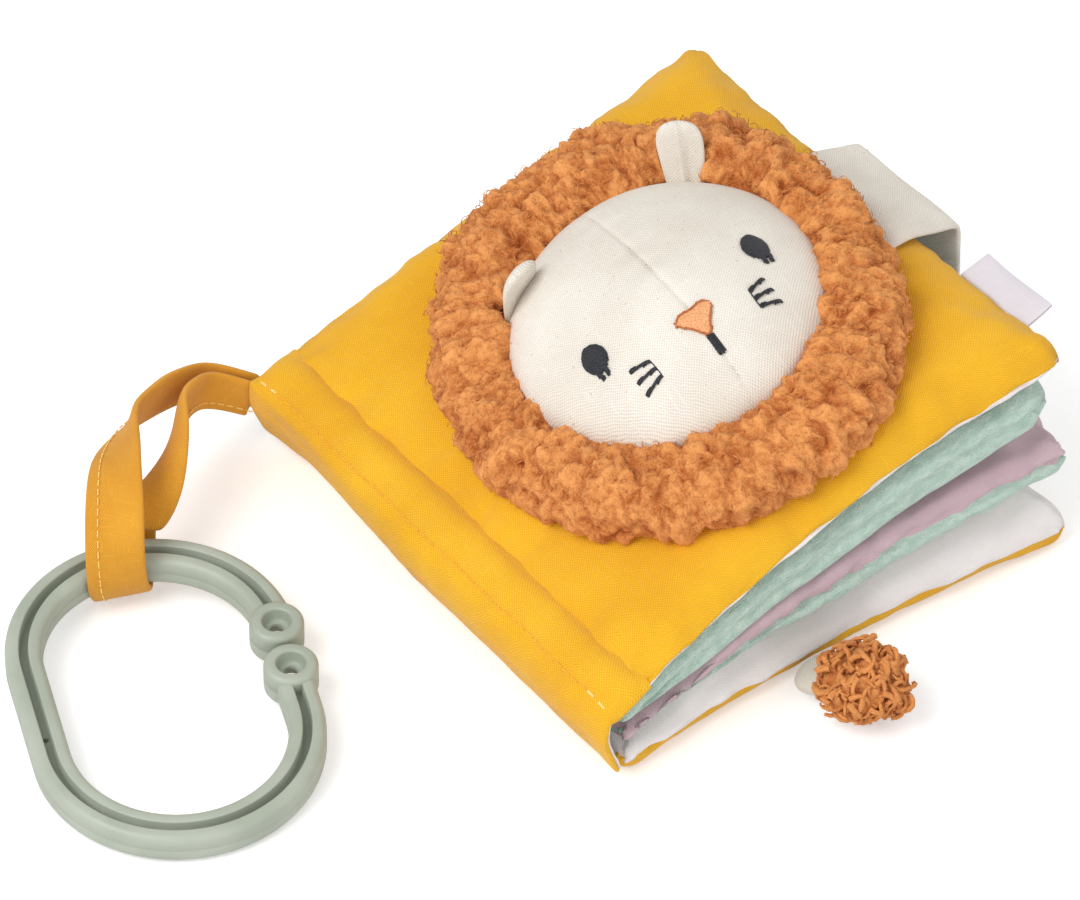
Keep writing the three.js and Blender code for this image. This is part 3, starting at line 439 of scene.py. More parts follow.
def node_group(name, inputs, outputs, kind_of_tree="ShaderNodeTree"):
    group = bpy.data.node_groups.new(name, kind_of_tree)
    for label, kind, value in inputs:
        socket = group.interface.new_socket(label, in_out="INPUT", socket_type=kind)
        if value is not None:
            socket.default_value = value
    for label, kind in outputs:
        group.interface.new_socket(label, in_out="OUTPUT", socket_type=kind)
    return group, group.nodes.new("NodeGroupInput"), group.nodes.new("NodeGroupOutput")


def feed(tree, socket, value):
    if isinstance(value, bpy.types.NodeSocket):
        tree.links.new(value, socket)
    else:
        socket.default_value = value


def maths(tree, operation, *values):
    node = tree.nodes.new("ShaderNodeMath")
    node.operation = operation
    for socket, value in zip(node.inputs, values):
        feed(tree, socket, value)
    return node.outputs[0]


def stretched(tree, place, factors):
    node = tree.nodes.new("ShaderNodeVectorMath")
    node.operation = "MULTIPLY"
    tree.links.new(place, node.inputs[0])
    feed(tree, node.inputs[1], factors)
    return node.outputs[0]


def cloudy(tree, place, scale, detail=2.0):
    node = tree.nodes.new("ShaderNodeTexNoise")
    tree.links.new(place, node.inputs["Vector"])
    set_inputs(node, Scale=scale, Detail=detail)
    return node.outputs[0]


def between(tree, value, low, high, to_low=0.0, to_high=1.0):
    node = tree.nodes.new("ShaderNodeMapRange")
    node.interpolation_type = "SMOOTHSTEP"
    tree.links.new(value, node.inputs["Value"])
    set_inputs(node, From_Min=low, From_Max=high, To_Min=to_low, To_Max=to_high)
    return node.outputs[0]


def scaled_place(tree, given, factor):
    node = tree.nodes.new("ShaderNodeVectorMath")
    node.operation = "SCALE"
    wire(tree, (given.outputs["Place"], node.inputs[0]), (given.outputs[factor], node.inputs["Scale"]))
    return node.outputs[0]


# Plain weave: threads over and under, some of them thicker for a stretch
def woven_threads():
    group, given, made = node_group(
        "woven_threads",
        [("Place", VECTOR, None), ("Threads", FLOAT, 1600.0), ("Slubs", FLOAT, 1.0)],
        [("Height", FLOAT), ("Tone", FLOAT), ("Fleck", FLOAT)],
    )
    place = scaled_place(group, given, "Threads")
    wobble = maths(group, "MULTIPLY_ADD", cloudy(group, place, 0.11, 3), 2.6, 0.0)
    parts = group.nodes.new("ShaderNodeSeparateXYZ")
    group.links.new(place, parts.inputs[0])
    waves = []
    for way in ("X", "Y"):
        shifted = maths(group, "ADD", parts.outputs[way], wobble)
        waves.append(maths(group, "SINE", maths(group, "MULTIPLY", shifted, math.pi)))
    weave = maths(group, "MULTIPLY_ADD", maths(group, "MULTIPLY", *waves), 0.5, 0.5)
    streaks = []
    for factors, low, high in (
        ((0.05, 0.8, 1), 0.56, 0.78),
        ((0.8, 0.05, 1), 0.56, 0.78),
        ((0.45, 0.3, 1), 0.70, 0.80),
    ):
        streaks.append(between(group, cloudy(group, stretched(group, place, factors), 1.0, 1), low, high))
    slub_x, slub_y, fleck = streaks
    slub = maths(group, "MULTIPLY", maths(group, "MAXIMUM", slub_x, slub_y), given.outputs["Slubs"])
    tone = maths(group, "MULTIPLY_ADD", cloudy(group, place, 0.012, 3), 0.7, -0.1)
    tone = maths(group, "MULTIPLY_ADD", weave, 0.45, maths(group, "MULTIPLY_ADD", slub, 0.22, tone))
    wire(
        group,
        (maths(group, "MULTIPLY_ADD", slub, 0.5, weave), made.inputs["Height"]),
        (tone, made.inputs["Tone"]),
        (fleck, made.inputs["Fleck"]),
    )
    return group


WEAVE = woven_threads()


def place_group(tree, group, **values):
    node = tree.nodes.new("ShaderNodeGroup")
    node.node_tree = group
    for label, value in values.items():
        feed(tree, node.inputs[label], value)
    return node


def mapped(tree):
    node = tree.nodes.new("ShaderNodeUVMap")
    node.uv_map = "cut"
    return node.outputs[0]


def own_place(tree):
    return tree.nodes.new("ShaderNodeTexCoord").outputs["Object"]


def blended(tree, share, first, second):
    node = tree.nodes.new("ShaderNodeMix")
    node.data_type = "RGBA"
    feed(tree, node.inputs["Factor"], share)
    feed(tree, node.inputs[6], first)
    feed(tree, node.inputs[7], second)
    return node.outputs[2]


def bumped(tree, shader, height, strength, distance):
    node = tree.nodes.new("ShaderNodeBump")
    set_inputs(node, Strength=strength, Distance=distance)
    wire(tree, (height, node.inputs["Height"]), (node.outputs[0], shader.inputs["Normal"]))


def plain_material(name, colour, roughness):
    material = bpy.data.materials.new(name)
    material.use_nodes = True
    shader = material.node_tree.nodes["Principled BSDF"]
    set_inputs(shader, Base_Color=colour, Roughness=roughness, Specular_IOR_Level=0.25)
    return material, material.node_tree, shader


def woven_material(name, light, dark, threads, slubs, depth=0.00022, fleck=None, sheen=0.15):
    material, tree, shader = plain_material(name, light, 0.92)
    weave = place_group(tree, WEAVE, Place=mapped(tree), Threads=threads, Slubs=slubs)
    colour = blended(tree, between(tree, weave.outputs["Tone"], 0.15, 0.85), dark, light)
    if fleck:
        colour = blended(tree, weave.outputs["Fleck"], colour, fleck)
    tree.links.new(colour, shader.inputs["Base Color"])
    set_inputs(shader, Sheen_Weight=sheen, Sheen_Roughness=0.5)
    bumped(tree, shader, weave.outputs["Height"], 0.55, depth)
    return material


MUSTARD_COTTON = woven_material("mustard_cotton", paint(243, 190, 44), paint(215, 152, 20), 2500, 0.4)
WHITE_COTTON = woven_material("white_cotton", paint(246, 241, 239), paint(232, 224, 223), 3200, 0.5)
MAUVE_COTTON = woven_material("mauve_cotton", paint(214, 188, 195), paint(194, 164, 174), 3200, 0.5)


# Short pile: fine upright fibres that part here and there
def short_pile():
    group, given, made = node_group(
        "short_pile",
        [("Place", VECTOR, None), ("Fibres", FLOAT, 1400.0)],
        [("Height", FLOAT), ("Tone", FLOAT)],
    )
    place = scaled_place(group, given, "Fibres")
    fine = cloudy(group, place, 1.0, 3)
    partings = cloudy(group, stretched(group, place, (0.12, 0.2, 0.2)), 1.0, 2)
    height = maths(group, "MULTIPLY_ADD", partings, 0.8, fine)
    tone = maths(group, "MULTIPLY_ADD", fine, 0.6, maths(group, "MULTIPLY_ADD", partings, 0.9, -0.25))
    wire(group, (height, made.inputs["Height"]), (tone, made.inputs["Tone"]))
    return group


PILE = short_pile()


def plush_material(name, light, dark):
    material, tree, shader = plain_material(name, light, 1.0)
    pile = place_group(tree, PILE, Place=mapped(tree), Fibres=2400.0)
    colour = blended(tree, between(tree, pile.outputs["Tone"], 0.25, 0.75), dark, light)
    tree.links.new(colour, shader.inputs["Base Color"])
    set_inputs(shader, Sheen_Weight=0.5, Sheen_Roughness=0.35)
    bumped(tree, shader, pile.outputs["Height"], 0.8, 0.0009)
    return material


MINT_PLUSH = plush_material("mint_plush", paint(210, 229, 216), paint(176, 206, 190))

PADS = [
    ("back_cover", BACK, ("lining", "cloth"), (WHITE_COTTON, MUSTARD_COTTON)),
    ("leaf_b", LEAF_B, ("upper_cotton", "lower_plush"), (MAUVE_COTTON, MINT_PLUSH)),
    ("leaf_a", LEAF_A, ("upper_plush", "lower_plush"), (MINT_PLUSH, MINT_PLUSH)),
    ("front_cover", FRONT, ("cloth", "lining"), (MUSTARD_COTTON, WHITE_COTTON)),
]
FOLDS = {
    "back_cover": dict(depth=0.0011, pitch=0.010, reach=0.013, seed=3.1),
    "leaf_b": dict(depth=0.0019, pitch=0.008, reach=0.010, seed=12.7),
    "leaf_a": dict(depth=0.0011, pitch=0.009, reach=0.010, seed=27.3),
    "front_cover": dict(depth=0.0009, pitch=0.009, reach=0.012, seed=41.9),
}
pads = [panel_cushion(f"{body}_cushion", p, cloths) for body, p, faces, cloths in PADS]
stuff_with_wadding(pads)
for pad, (body, p, faces, cloths) in zip(pads, PADS):
    subdivide(pad)
    pucker(pad, p, **FOLDS[body])
    lay_flat_map(pad, p)
    pad.data.attributes.remove(pad.data.attributes["flat"])
    pad.vertex_groups.clear()
    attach(pad, body)
    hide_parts(*[f"{body}_{part}" for part in faces], f"{body}_wadding", f"{body}_crinkle_film")


# Spine: the mustard cotton of both covers runs round the back of the leaves in one length,
# with a topstitched line along the front cover, and a white lining shows inside it. It is
# made in three strips, one for each page that turns.
SPINE_OUT = 0.0044
SHOULDER_Z = 0.0242
SHOULDER_DIP = 0.0006
SEAM_ABOVE_SHOULDER = 0.0004
UNDER_LAP = 0.0105
SPINE_THICKNESS = 0.0012
LINING_THICKNESS = 0.0008
LINING_IN = 0.0014
LOW_TURN_Z = 0.0124
HIGH_TURN_Z = 0.0150
COVER_TURN_Z = 0.0240
LINING_SPAN = (0.0012, 0.0255)
LAP_INSET = 0.004
SHOULDER_WIDTH = 0.0012
CORNER_DRAWN_IN = 0.28
SPINE_CREASE = 0.0007
SPINE_FINE_CREASE = 0.0004
SPINE_COLUMNS = 96
SPINE_STEPS = 9
SPINE_CROWDING = 0.06
SPINE_OVERHANG = 0.0003
LINING_INSET = 0.0001
CREASE_FOOT = 0.002
CREASE_RUN = 0.004
CREASE_REACH = 0.008
LAP_CREASE_SHARE = 0.2
LAP_TURN_Z = 0.0045
STRIP_SHARP = math.radians(60)


def smooth_route(points, count):
    route = [Vector(p) for p in points]
    found = []
    for i in range(len(route) - 1):
        before, after = route[max(i - 1, 0)], route[min(i + 2, len(route) - 1)]
        a, b = route[i], route[i + 1]
        for k in range(count):
            t = k / count
            bend = (2 * before - 5 * a + 4 * b - after) * t ** 2 + (3 * a - before - 3 * b + after) * t ** 3
            found.append(0.5 * (2 * a + (b - before) * t + bend))
    return found + [route[-1]]


def spine_column(y, inset):
    out = SPINE_OUT - inset
    route = [
        (UNDER_LAP, 0.0007), (0.0060, 0.0008), (0.0032, 0.0018), (0.0012 + inset / 2, 0.0044),
        (-0.0006 + inset, 0.0078), (-0.0022 + inset, 0.0110), (-0.0036 + inset, 0.0140), (-out, 0.0172),
        (-0.0034 + inset, 0.0220), (0.0002 + inset, 0.0262), (0.0032, 0.0283), (0.0060, 0.0289),
        (0.0084, 0.0283), (0.0104, 0.0276),
    ]
    rolled = roll_share(HALF_HEIGHT - min(abs(y), HALF_HEIGHT))
    column = []
    for point in smooth_route([(x, z, 0) for x, z in route], SPINE_STEPS):
        x, z = point.x, point.y
        seam = seam_height(FRONT, max(x, 0))
        if z > seam:
            z = seam + (z - seam) * rolled
        if z < BACK["seam"]:
            z = BACK["seam"] + (z - BACK["seam"]) * rolled
        x = x * (1 - CORNER_DRAWN_IN + CORNER_DRAWN_IN * rolled) if x < 0 else x
        x += spine_pull(y, z) * (1 - share_of(x / SPINE_PULL_REACH))
        x += SHOULDER_DIP * math.exp(-(((z - SHOULDER_Z) / SHOULDER_WIDTH) ** 2)) * rolled
        column.append(Vector((x, y, z)))
    return column


def within_cover(x, y, z):
    if x <= 0:
        return y
    if z < BACK["seam"]:
        limit = HALF_HEIGHT - LAP_INSET * min(x / LAP_INSET, 1)
    else:
        edge = drawn_in(FRONT, max(x, FRONT["near"]), math.copysign(HALF_HEIGHT, y))[1]
        limit = abs(edge) + SPINE_OVERHANG * (1 - min(x / LAP_INSET, 1))
    return math.copysign(min(abs(y), limit), y)


def spine_rows(inset, half_length):
    columns = []
    for j in range(SPINE_COLUMNS + 1):
        t = 2 * j / SPINE_COLUMNS - 1
        t = t + SPINE_CROWDING * t * (1 - t * t)
        columns.append(spine_column(t * half_length, inset))
    rows, maps = [], []
    for i, run in enumerate(run_lengths(columns[SPINE_COLUMNS // 2])):
        row = []
        for column in columns:
            x, y, z = column[i]
            y = within_cover(x, y, z)
            free = share_of((z - CREASE_FOOT) / CREASE_RUN)
            free *= 1 if x < CREASE_REACH else LAP_CREASE_SHARE
            fold = SPINE_CREASE * noise.noise(Vector((y * 60, run * 18, 3)))
            fold += SPINE_FINE_CREASE * noise.noise(Vector((y * 160, run * 60, 8)))
            row.append(Vector((SPINE_X + x - fold * free, y, z)))
        rows.append(row)
        maps.append([(run, p.y) for p in row])
    return rows, maps


def run_lengths(spots):
    runs = [0.0]
    for before, after in zip(spots, spots[1:]):
        runs.append(runs[-1] + (after - before).length)
    return runs


def face_outwards(made):
    mesh = made.data
    volume = 0
    for polygon in mesh.polygons:
        ring = [mesh.vertices[v].co for v in polygon.vertices]
        for k in range(1, len(ring) - 1):
            volume += ring[0].dot(ring[k].cross(ring[k + 1]))
    if volume < 0:
        mesh.flip_normals()


def mapped_object(name, points, maps, faces, materials):
    made = mesh_object(name, points, faces, materials)
    layer = made.data.uv_layers.new(name="cut")
    for loop in made.data.loops:
        layer.data[loop.index].uv = maps[loop.vertex_index]
    face_outwards(made)
    return made


def tube_faces(count, sides, closed=False):
    faces = []
    for i in range(count if closed else count - 1):
        for k in range(sides):
            n, m = (k + 1) % sides, (i + 1) % count
            faces.append((i * sides + k, i * sides + n, m * sides + n, m * sides + k))
    return faces


def close_ends(points, maps, faces, sides, ends):
    for row, spot, place in ends:
        tip = len(points)
        points.append(spot)
        maps.append(place)
        for k in range(sides):
            triangle = (row * sides + k, row * sides + (k + 1) % sides, tip)
            faces.append(triangle if row else triangle[::-1])


def band_object(name, rows, thickness, material, maps, corners=3):
    last = len(rows[0]) - 1
    points, spots = [], []
    for i, row in enumerate(rows):
        before, after = rows[max(i - 1, 0)], rows[min(i + 1, len(rows) - 1)]
        lift = []
        for j in range(last + 1):
            across = row[min(j + 1, last)] - row[max(j - 1, 0)]
            lift.append((after[j] - before[j]).cross(across).normalized() * thickness / 2)
        ends = [(last, (row[-1] - row[-2]).normalized()), (0, (row[0] - row[1]).normalized())]
        for turn, (end, outward) in enumerate(ends):
            side = 1 if turn == 0 else -1
            order = range(last + 1) if turn == 0 else reversed(range(last + 1))
            for j in order:
                points.append(row[j] + lift[j] * side)
                spots.append(maps[i][j])
            for k in range(1, corners + 1):
                angle = math.pi * k / (corners + 1)
                rim = lift[end] * side * math.cos(angle) + outward * (thickness / 2) * math.sin(angle)
                points.append(row[end] + rim)
                (u, v), (iu, iv) = maps[i][end], maps[i][abs(end - 1)]
                far = thickness / 2 * angle / max(math.hypot(u - iu, v - iv), 1e-6)
                spots.append((u + (u - iu) * far, v + (v - iv) * far))
    sides = len(points) // len(rows)
    faces = tube_faces(len(rows), sides)
    half = sides // 2
    for start, turned in ((0, True), ((len(rows) - 1) * sides, False)):
        for j in range(half - 1):
            quad = (start + j, start + j + 1, start + sides - 2 - j, start + (sides - 1 - j))
            faces.append(quad[::-1] if turned else quad)
    return mapped_object(name, points, spots, faces, [material])


def nearest_row(rows, z):
    return min(range(len(rows)), key=lambda i: abs(rows[i][SPINE_COLUMNS // 2].z - z))


SPINE_LAYERS = [
    ("spine_cloth", 0.0, SPINE_THICKNESS, MUSTARD_COTTON, HALF_HEIGHT + SPINE_OVERHANG),
    ("spine_lining", LINING_IN, LINING_THICKNESS, WHITE_COTTON, HALF_HEIGHT - LINING_INSET),
]
for layer, inset, thickness, cloth, half_length in SPINE_LAYERS:
    rows, maps = spine_rows(inset, half_length)
    low, high = nearest_row(rows, LOW_TURN_Z), nearest_row(rows, HIGH_TURN_Z)
    if layer == "spine_cloth":
        SHOULDER_ROW = rows[nearest_row(rows, SHOULDER_Z + SEAM_ABOVE_SHOULDER)]
    first, last = 0, len(rows) - 1
    if layer == "spine_lining":
        first, last = nearest_row(rows, LINING_SPAN[0]), nearest_row(rows, LINING_SPAN[1])
    for part, begin, end, under, over, from_z, to_z in (
        ("lower", first, low, "back_cover", "leaf_b", LAP_TURN_Z, LOW_TURN_Z),
        ("middle", low, high, "leaf_b", "leaf_a", LOW_TURN_Z, HIGH_TURN_Z),
        ("upper", high, last, "leaf_a", "front_cover", HIGH_TURN_Z, COVER_TURN_Z),
    ):
        strip = band_object(f"{layer}_{part}", rows[begin:end + 1], thickness, cloth, maps[begin:end + 1])
        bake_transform(strip)
        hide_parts(layer)
        strip.data.set_sharp_from_angle(angle=STRIP_SHARP)


# Topstitching: short lengths of thread that lie in the cloth, one after another
def rule_tree(name, takes, gives, numbers):
    inputs = [(takes, GEOMETRY, None)]
    for label, value in numbers.items():
        inputs.append((label, "NodeSocketInt" if isinstance(value, int) else FLOAT, value))
    inputs.append(("Finish", "NodeSocketMaterial", None))
    return node_group(name, inputs, [(gives, GEOMETRY)], "GeometryNodeTree")


def swept(tree, curve, radius, sides, caps=True):
    ring = tree.nodes.new("GeometryNodeCurvePrimitiveCircle")
    sweep = tree.nodes.new("GeometryNodeCurveToMesh")
    feed(tree, ring.inputs["Radius"], radius)
    feed(tree, ring.inputs["Resolution"], sides)
    set_inputs(sweep, Fill_Caps=caps)
    wire(tree, (curve, sweep.inputs["Curve"]), (ring.outputs[0], sweep.inputs["Profile Curve"]))
    return sweep


def finish_rule(tree, given, made, geometry):
    realize = tree.nodes.new("GeometryNodeRealizeInstances")
    finish = tree.nodes.new("GeometryNodeSetMaterial")
    wire(
        tree,
        (geometry, realize.inputs[0]),
        (realize.outputs[0], finish.inputs["Geometry"]),
        (given.outputs["Finish"], finish.inputs["Material"]),
        (finish.outputs[0], made.inputs[0]),
    )
    return tree


def stitch_run():
    numbers = {"Pitch": 0.003, "Length": 0.0022, "Thread": 0.0003}
    tree, given, made = rule_tree("stitch_run", "Line", "Stitches", numbers)
    add = tree.nodes.new
    to_curve, resample = add("GeometryNodeMeshToCurve"), add("GeometryNodeResampleCurve")
    resample.mode = "LENGTH"
    points, turn = add("GeometryNodeCurveToPoints"), add("GeometryNodeInstanceOnPoints")
    points.mode = "EVALUATED"
    stitch = add("GeometryNodeCurvePrimitiveLine")
    for end, share in (("Start", -0.5), ("End", 0.5)):
        spot = add("ShaderNodeCombineXYZ")
        tree.links.new(maths(tree, "MULTIPLY", given.outputs["Length"], share), spot.inputs["Z"])
        tree.links.new(spot.outputs[0], stitch.inputs[end])
    sweep = swept(tree, stitch.outputs[0], given.outputs["Thread"], 6)
    wire(
        tree,
        (given.outputs["Line"], to_curve.inputs[0]),
        (to_curve.outputs[0], resample.inputs["Curve"]),
        (given.outputs["Pitch"], resample.inputs["Length"]),
        (resample.outputs[0], points.inputs["Curve"]),
        (points.outputs["Points"], turn.inputs["Points"]),
        (points.outputs["Rotation"], turn.inputs["Rotation"]),
        (sweep.outputs[0], turn.inputs["Instance"]),
    )
    return finish_rule(tree, given, made, turn.outputs[0])


def node_piece(made, tree, **values):
    modifier = made.modifiers.new("made_by_rule", "NODES")
    modifier.node_group = tree
    for item in tree.interface.items_tree:
        if item.item_type == "SOCKET" and item.in_out == "INPUT" and item.name in values:
            modifier[item.identifier] = values[item.name]
    bpy.context.view_layer.update()
    settled(made)
    made.data.shade_smooth()
    return made


STITCH_RUN = stitch_run()
SEAM_THREAD = 0.00022


def thread_material(name, light, dark, roughness=0.55):
    material, tree, shader = plain_material(name, light, roughness)
    strand = cloudy(tree, own_place(tree), 2600, 2)
    tree.links.new(blended(tree, between(tree, strand, 0.3, 0.7), dark, light), shader.inputs["Base Color"])
    set_inputs(shader, Sheen_Weight=0.2)
    bumped(tree, shader, strand, 0.4, 0.0002)
    return material


def stitched_line(name, route, body, finish, pitch=0.003, length=0.0022, thread=SEAM_THREAD):
    made = mesh_object(name, route, [], edges=[(k, k + 1) for k in range(len(route) - 1)])
    node_piece(made, STITCH_RUN, Pitch=pitch, Length=length, Thread=thread, Finish=finish)
    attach(made, body)
    return made


MUSTARD_THREAD = thread_material("mustard_thread", paint(244, 186, 56), paint(224, 154, 28))
PALE_THREAD = thread_material("pale_thread", paint(252, 222, 140), paint(238, 190, 90))
STITCH_END = 0.0700
STITCH_TACK = 0.0630
TACK_GAP = 0.002
TACK_THREAD = 0.00034
THREAD_LIFT = 0.0001


def spine_seam(low, high):
    lift = Vector((-0.7, 0, 0.7)) * (SPINE_THICKNESS / 2 + THREAD_LIFT)
    return [p + lift for p in SHOULDER_ROW if low <= p.y <= high]


for label, low, high, thread, finish in (
    ("stitches", -STITCH_TACK, STITCH_TACK, SEAM_THREAD, MUSTARD_THREAD),
    ("tack_tail", -STITCH_END, -STITCH_TACK - TACK_GAP, TACK_THREAD, PALE_THREAD),
    ("tack_head", STITCH_TACK + TACK_GAP, STITCH_END, TACK_THREAD, PALE_THREAD),
):
    stitched_line(
        f"spine_{label}", spine_seam(low, high), "front_cover", finish, thread=thread
    )


# Lion's face: a dome of natural linen in two halves joined down the middle, stuffed firm
# and sewn to the front cover round its rim, which the mane hides.
FACE_RADIUS = 0.0395
FACE_EDGE_HEIGHT = 0.0105
FACE_CROWN = 0.0280
FACE_FULLNESS = 0.6
FACE_SKIRT = 0.0030
MUZZLE_SWELL = 0.0024
MUZZLE_DROP = 0.43 * FACE_RADIUS
MUZZLE_RADIUS = 0.43 * FACE_RADIUS
HEAD_ALONG = 0.489 * COVER_WIDTH
HEAD_BELOW_MIDDLE = 0.0045
HEAD_TURN = math.radians(-4)
COVER_TILT = math.radians(FRONT_TILT)
COVER_NORMAL = Vector((-math.sin(COVER_TILT), 0, math.cos(COVER_TILT)))
FACE_SEAM_DEPTH = 0.0005
FACE_SEAM_WIDTH = 0.0006
FACE_CELLS = 92
FACE_EXTRA_SHARES = [-0.009, 0.009, -0.020, 0.020]
FACE_WAVE = 0.0005
SEAM_CREEP = 0.0004
SEAM_CREEP_REACH = 0.005


def on_cover(across, along, height):
    x = FRONT["near"] + (
        HEAD_ALONG + across * math.cos(HEAD_TURN) - along * math.sin(HEAD_TURN)
    ) * math.cos(COVER_TILT)
    y = -HEAD_BELOW_MIDDLE + across * math.sin(HEAD_TURN) + along * math.cos(HEAD_TURN)
    inset = max(min(x - FRONT["near"], FRONT["far"] - x, HALF_HEIGHT - abs(y)), 0)
    z = seam_height(FRONT, x) + crown_height(FRONT, 1, x) * roll_share(inset)
    return Vector((SPINE_X + x, y, z)) + COVER_NORMAL * height


def face_height(across, along):
    share = min(math.hypot(across, along) / FACE_RADIUS, 1)
    dome = FACE_EDGE_HEIGHT + (FACE_CROWN - FACE_EDGE_HEIGHT) * (1 - share ** 2) ** FACE_FULLNESS
    off = math.hypot(across, along + MUZZLE_DROP) / MUZZLE_RADIUS
    return dome + MUZZLE_SWELL * math.exp(-off ** 2)


def on_face(across, along, lift=0.0):
    return on_cover(across, along, face_height(across, along) + lift)


def face_steps():
    steps = [math.sin(math.pi / 2 * (2 * i / FACE_CELLS - 1)) for i in range(FACE_CELLS + 1)]
    return [0.55 * s + 0.45 * (2 * i / FACE_CELLS - 1) ** 3 for i, s in enumerate(steps)]


def face_object():
    us = sorted(face_steps() + FACE_EXTRA_SHARES)
    vs = face_steps()
    points, maps, faces = [], [], []
    for u in us:
        for v in vs:
            across = FACE_RADIUS * u * math.sqrt(1 - v * v / 2)
            along = FACE_RADIUS * v * math.sqrt(1 - u * u / 2)
            share = math.hypot(across, along) / FACE_RADIUS
            seam = math.exp(-((across / FACE_SEAM_WIDTH) ** 2)) * (1 - share ** 6)
            wave = FACE_WAVE * noise.noise(Vector((across * 70, along * 70, 2)))
            creep = SEAM_CREEP * noise.noise(Vector((along * 260, 4, 1)))
            creep *= math.exp(-((across / SEAM_CREEP_REACH) ** 2))
            points.append(on_face(across, along, wave + creep - FACE_SEAM_DEPTH * seam))
            maps.append((across, along))
    wide, high = len(us) - 1, len(vs) - 1

    def at(i, j):
        return i * (high + 1) + j

    for i in range(wide):
        for j in range(high):
            faces.append((at(i, j), at(i + 1, j), at(i + 1, j + 1), at(i, j + 1)))
    rim = [at(i, 0) for i in range(wide)] + [at(wide, j) for j in range(high)]
    rim += [at(i, high) for i in range(wide, 0, -1)] + [at(0, j) for j in range(high, 0, -1)]
    above = rim
    for level in (0.6, 0.25, 0):
        below = []
        for k in above:
            across, along = maps[k]
            below.append(len(points))
            points.append(on_cover(across, along, FACE_SKIRT + (FACE_EDGE_HEIGHT - FACE_SKIRT) * level))
            maps.append((across, along))
        for k in range(len(rim)):
            n = (k + 1) % len(rim)
            faces.append((above[k], above[n], below[n], below[k])[::-1])
        above = below
    foot = len(points)
    points.append(on_cover(0, 0, FACE_SKIRT))
    maps.append((0, 0))
    for k in range(len(rim)):
        faces.append((above[k], above[(k + 1) % len(rim)], foot)[::-1])
    return points, maps, faces


LINEN = woven_material(
    "natural_linen", paint(240, 235, 226), paint(208, 199, 185), 2500, 0.5,
    depth=0.0002, fleck=paint(196, 178, 152), sheen=0.1,
)
face_points, face_maps, face_faces = face_object()
face = mapped_object("lion_face_cushion", face_points, face_maps, face_faces, [LINEN])
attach(face, "front_cover")
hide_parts("lion_face", "lion_head_filling")

# Linen thread, greyer than the cloth. In the face's seam its darker line is partly painted shade of the
# seam's groove; on the strap it is plain topstitching.
LINEN_THREAD = thread_material("linen_thread", paint(222, 214, 202), paint(190, 180, 164))
SEAM_TOP = 0.93 * FACE_RADIUS
NOSE_TOP = -0.0165
CHIN_TOP = -0.0300
FACE_SEAM_STEPS = 40
# Face seam: thread laid in the groove; its grey line is partly real stitching and partly painted shade of
# the groove.
for label, low, high in (("brow", NOSE_TOP, SEAM_TOP), ("chin", -SEAM_TOP, CHIN_TOP)):
    heights = [low + (high - low) * k / FACE_SEAM_STEPS for k in range(FACE_SEAM_STEPS + 1)]
    route = [on_face(0, height, -FACE_SEAM_DEPTH) for height in heights]
    stitched_line(
        f"face_seam_{label}", route, "front_cover", LINEN_THREAD, pitch=0.0020,
        length=0.0017, thread=0.00013
    )


# Mane: a fat ring of teddy fleece sewn round the face. The pile gathers in soft lumps with
# smaller curls on them and fine ends of wool that stand out of its outline.
MANE_HEIGHT = 0.0140
MANE_ACROSS = 0.0160
MANE_ALONG = 0.0225
MANE_OFFSET = -0.0020
MANE_LUMP = 0.0012
MANE_SWAY = 0.0022
MANE_SWAY_BEARING = math.radians(50)
MANE_CLUMP = 0.0012
EAR_NOTCH = 0.0052
EAR_NOTCH_WIDTH = 0.17
MANE_TUCK = 0.0006
EAR_BEARINGS = (math.radians(49), math.radians(133))
MANE_SEAT = 0.0005
MANE_SINK = 0.0006
MANE_SECTION = [(-0.62, 0.02), (-0.98, 0.28), (-1.0, 0.62), (-0.86, 0.88), (-0.45, 1.0), (0.0, 1.02),
                (0.42, 0.96), (0.80, 0.78), (1.0, 0.52), (0.97, 0.26), (0.62, 0.02), (0.0, 0.0)]
MANE_TURNS = 118

# Fleece: a backing pushed out into lumps of three sizes, which lean over one another, and
# short curved ends of wool that stand on it. The height of each spot is kept as a tone that
# paints shade into the hollows between the lumps.
FLEECE_BEND, FLEECE_BEND_SIZE = 0.006, 0.005
FLEECE_WRING, FLEECE_WRING_SIZE = 0.0026, 0.0022
STRAY_SIZE = 0.0024
WOOL_ENDS_MOST = 900000


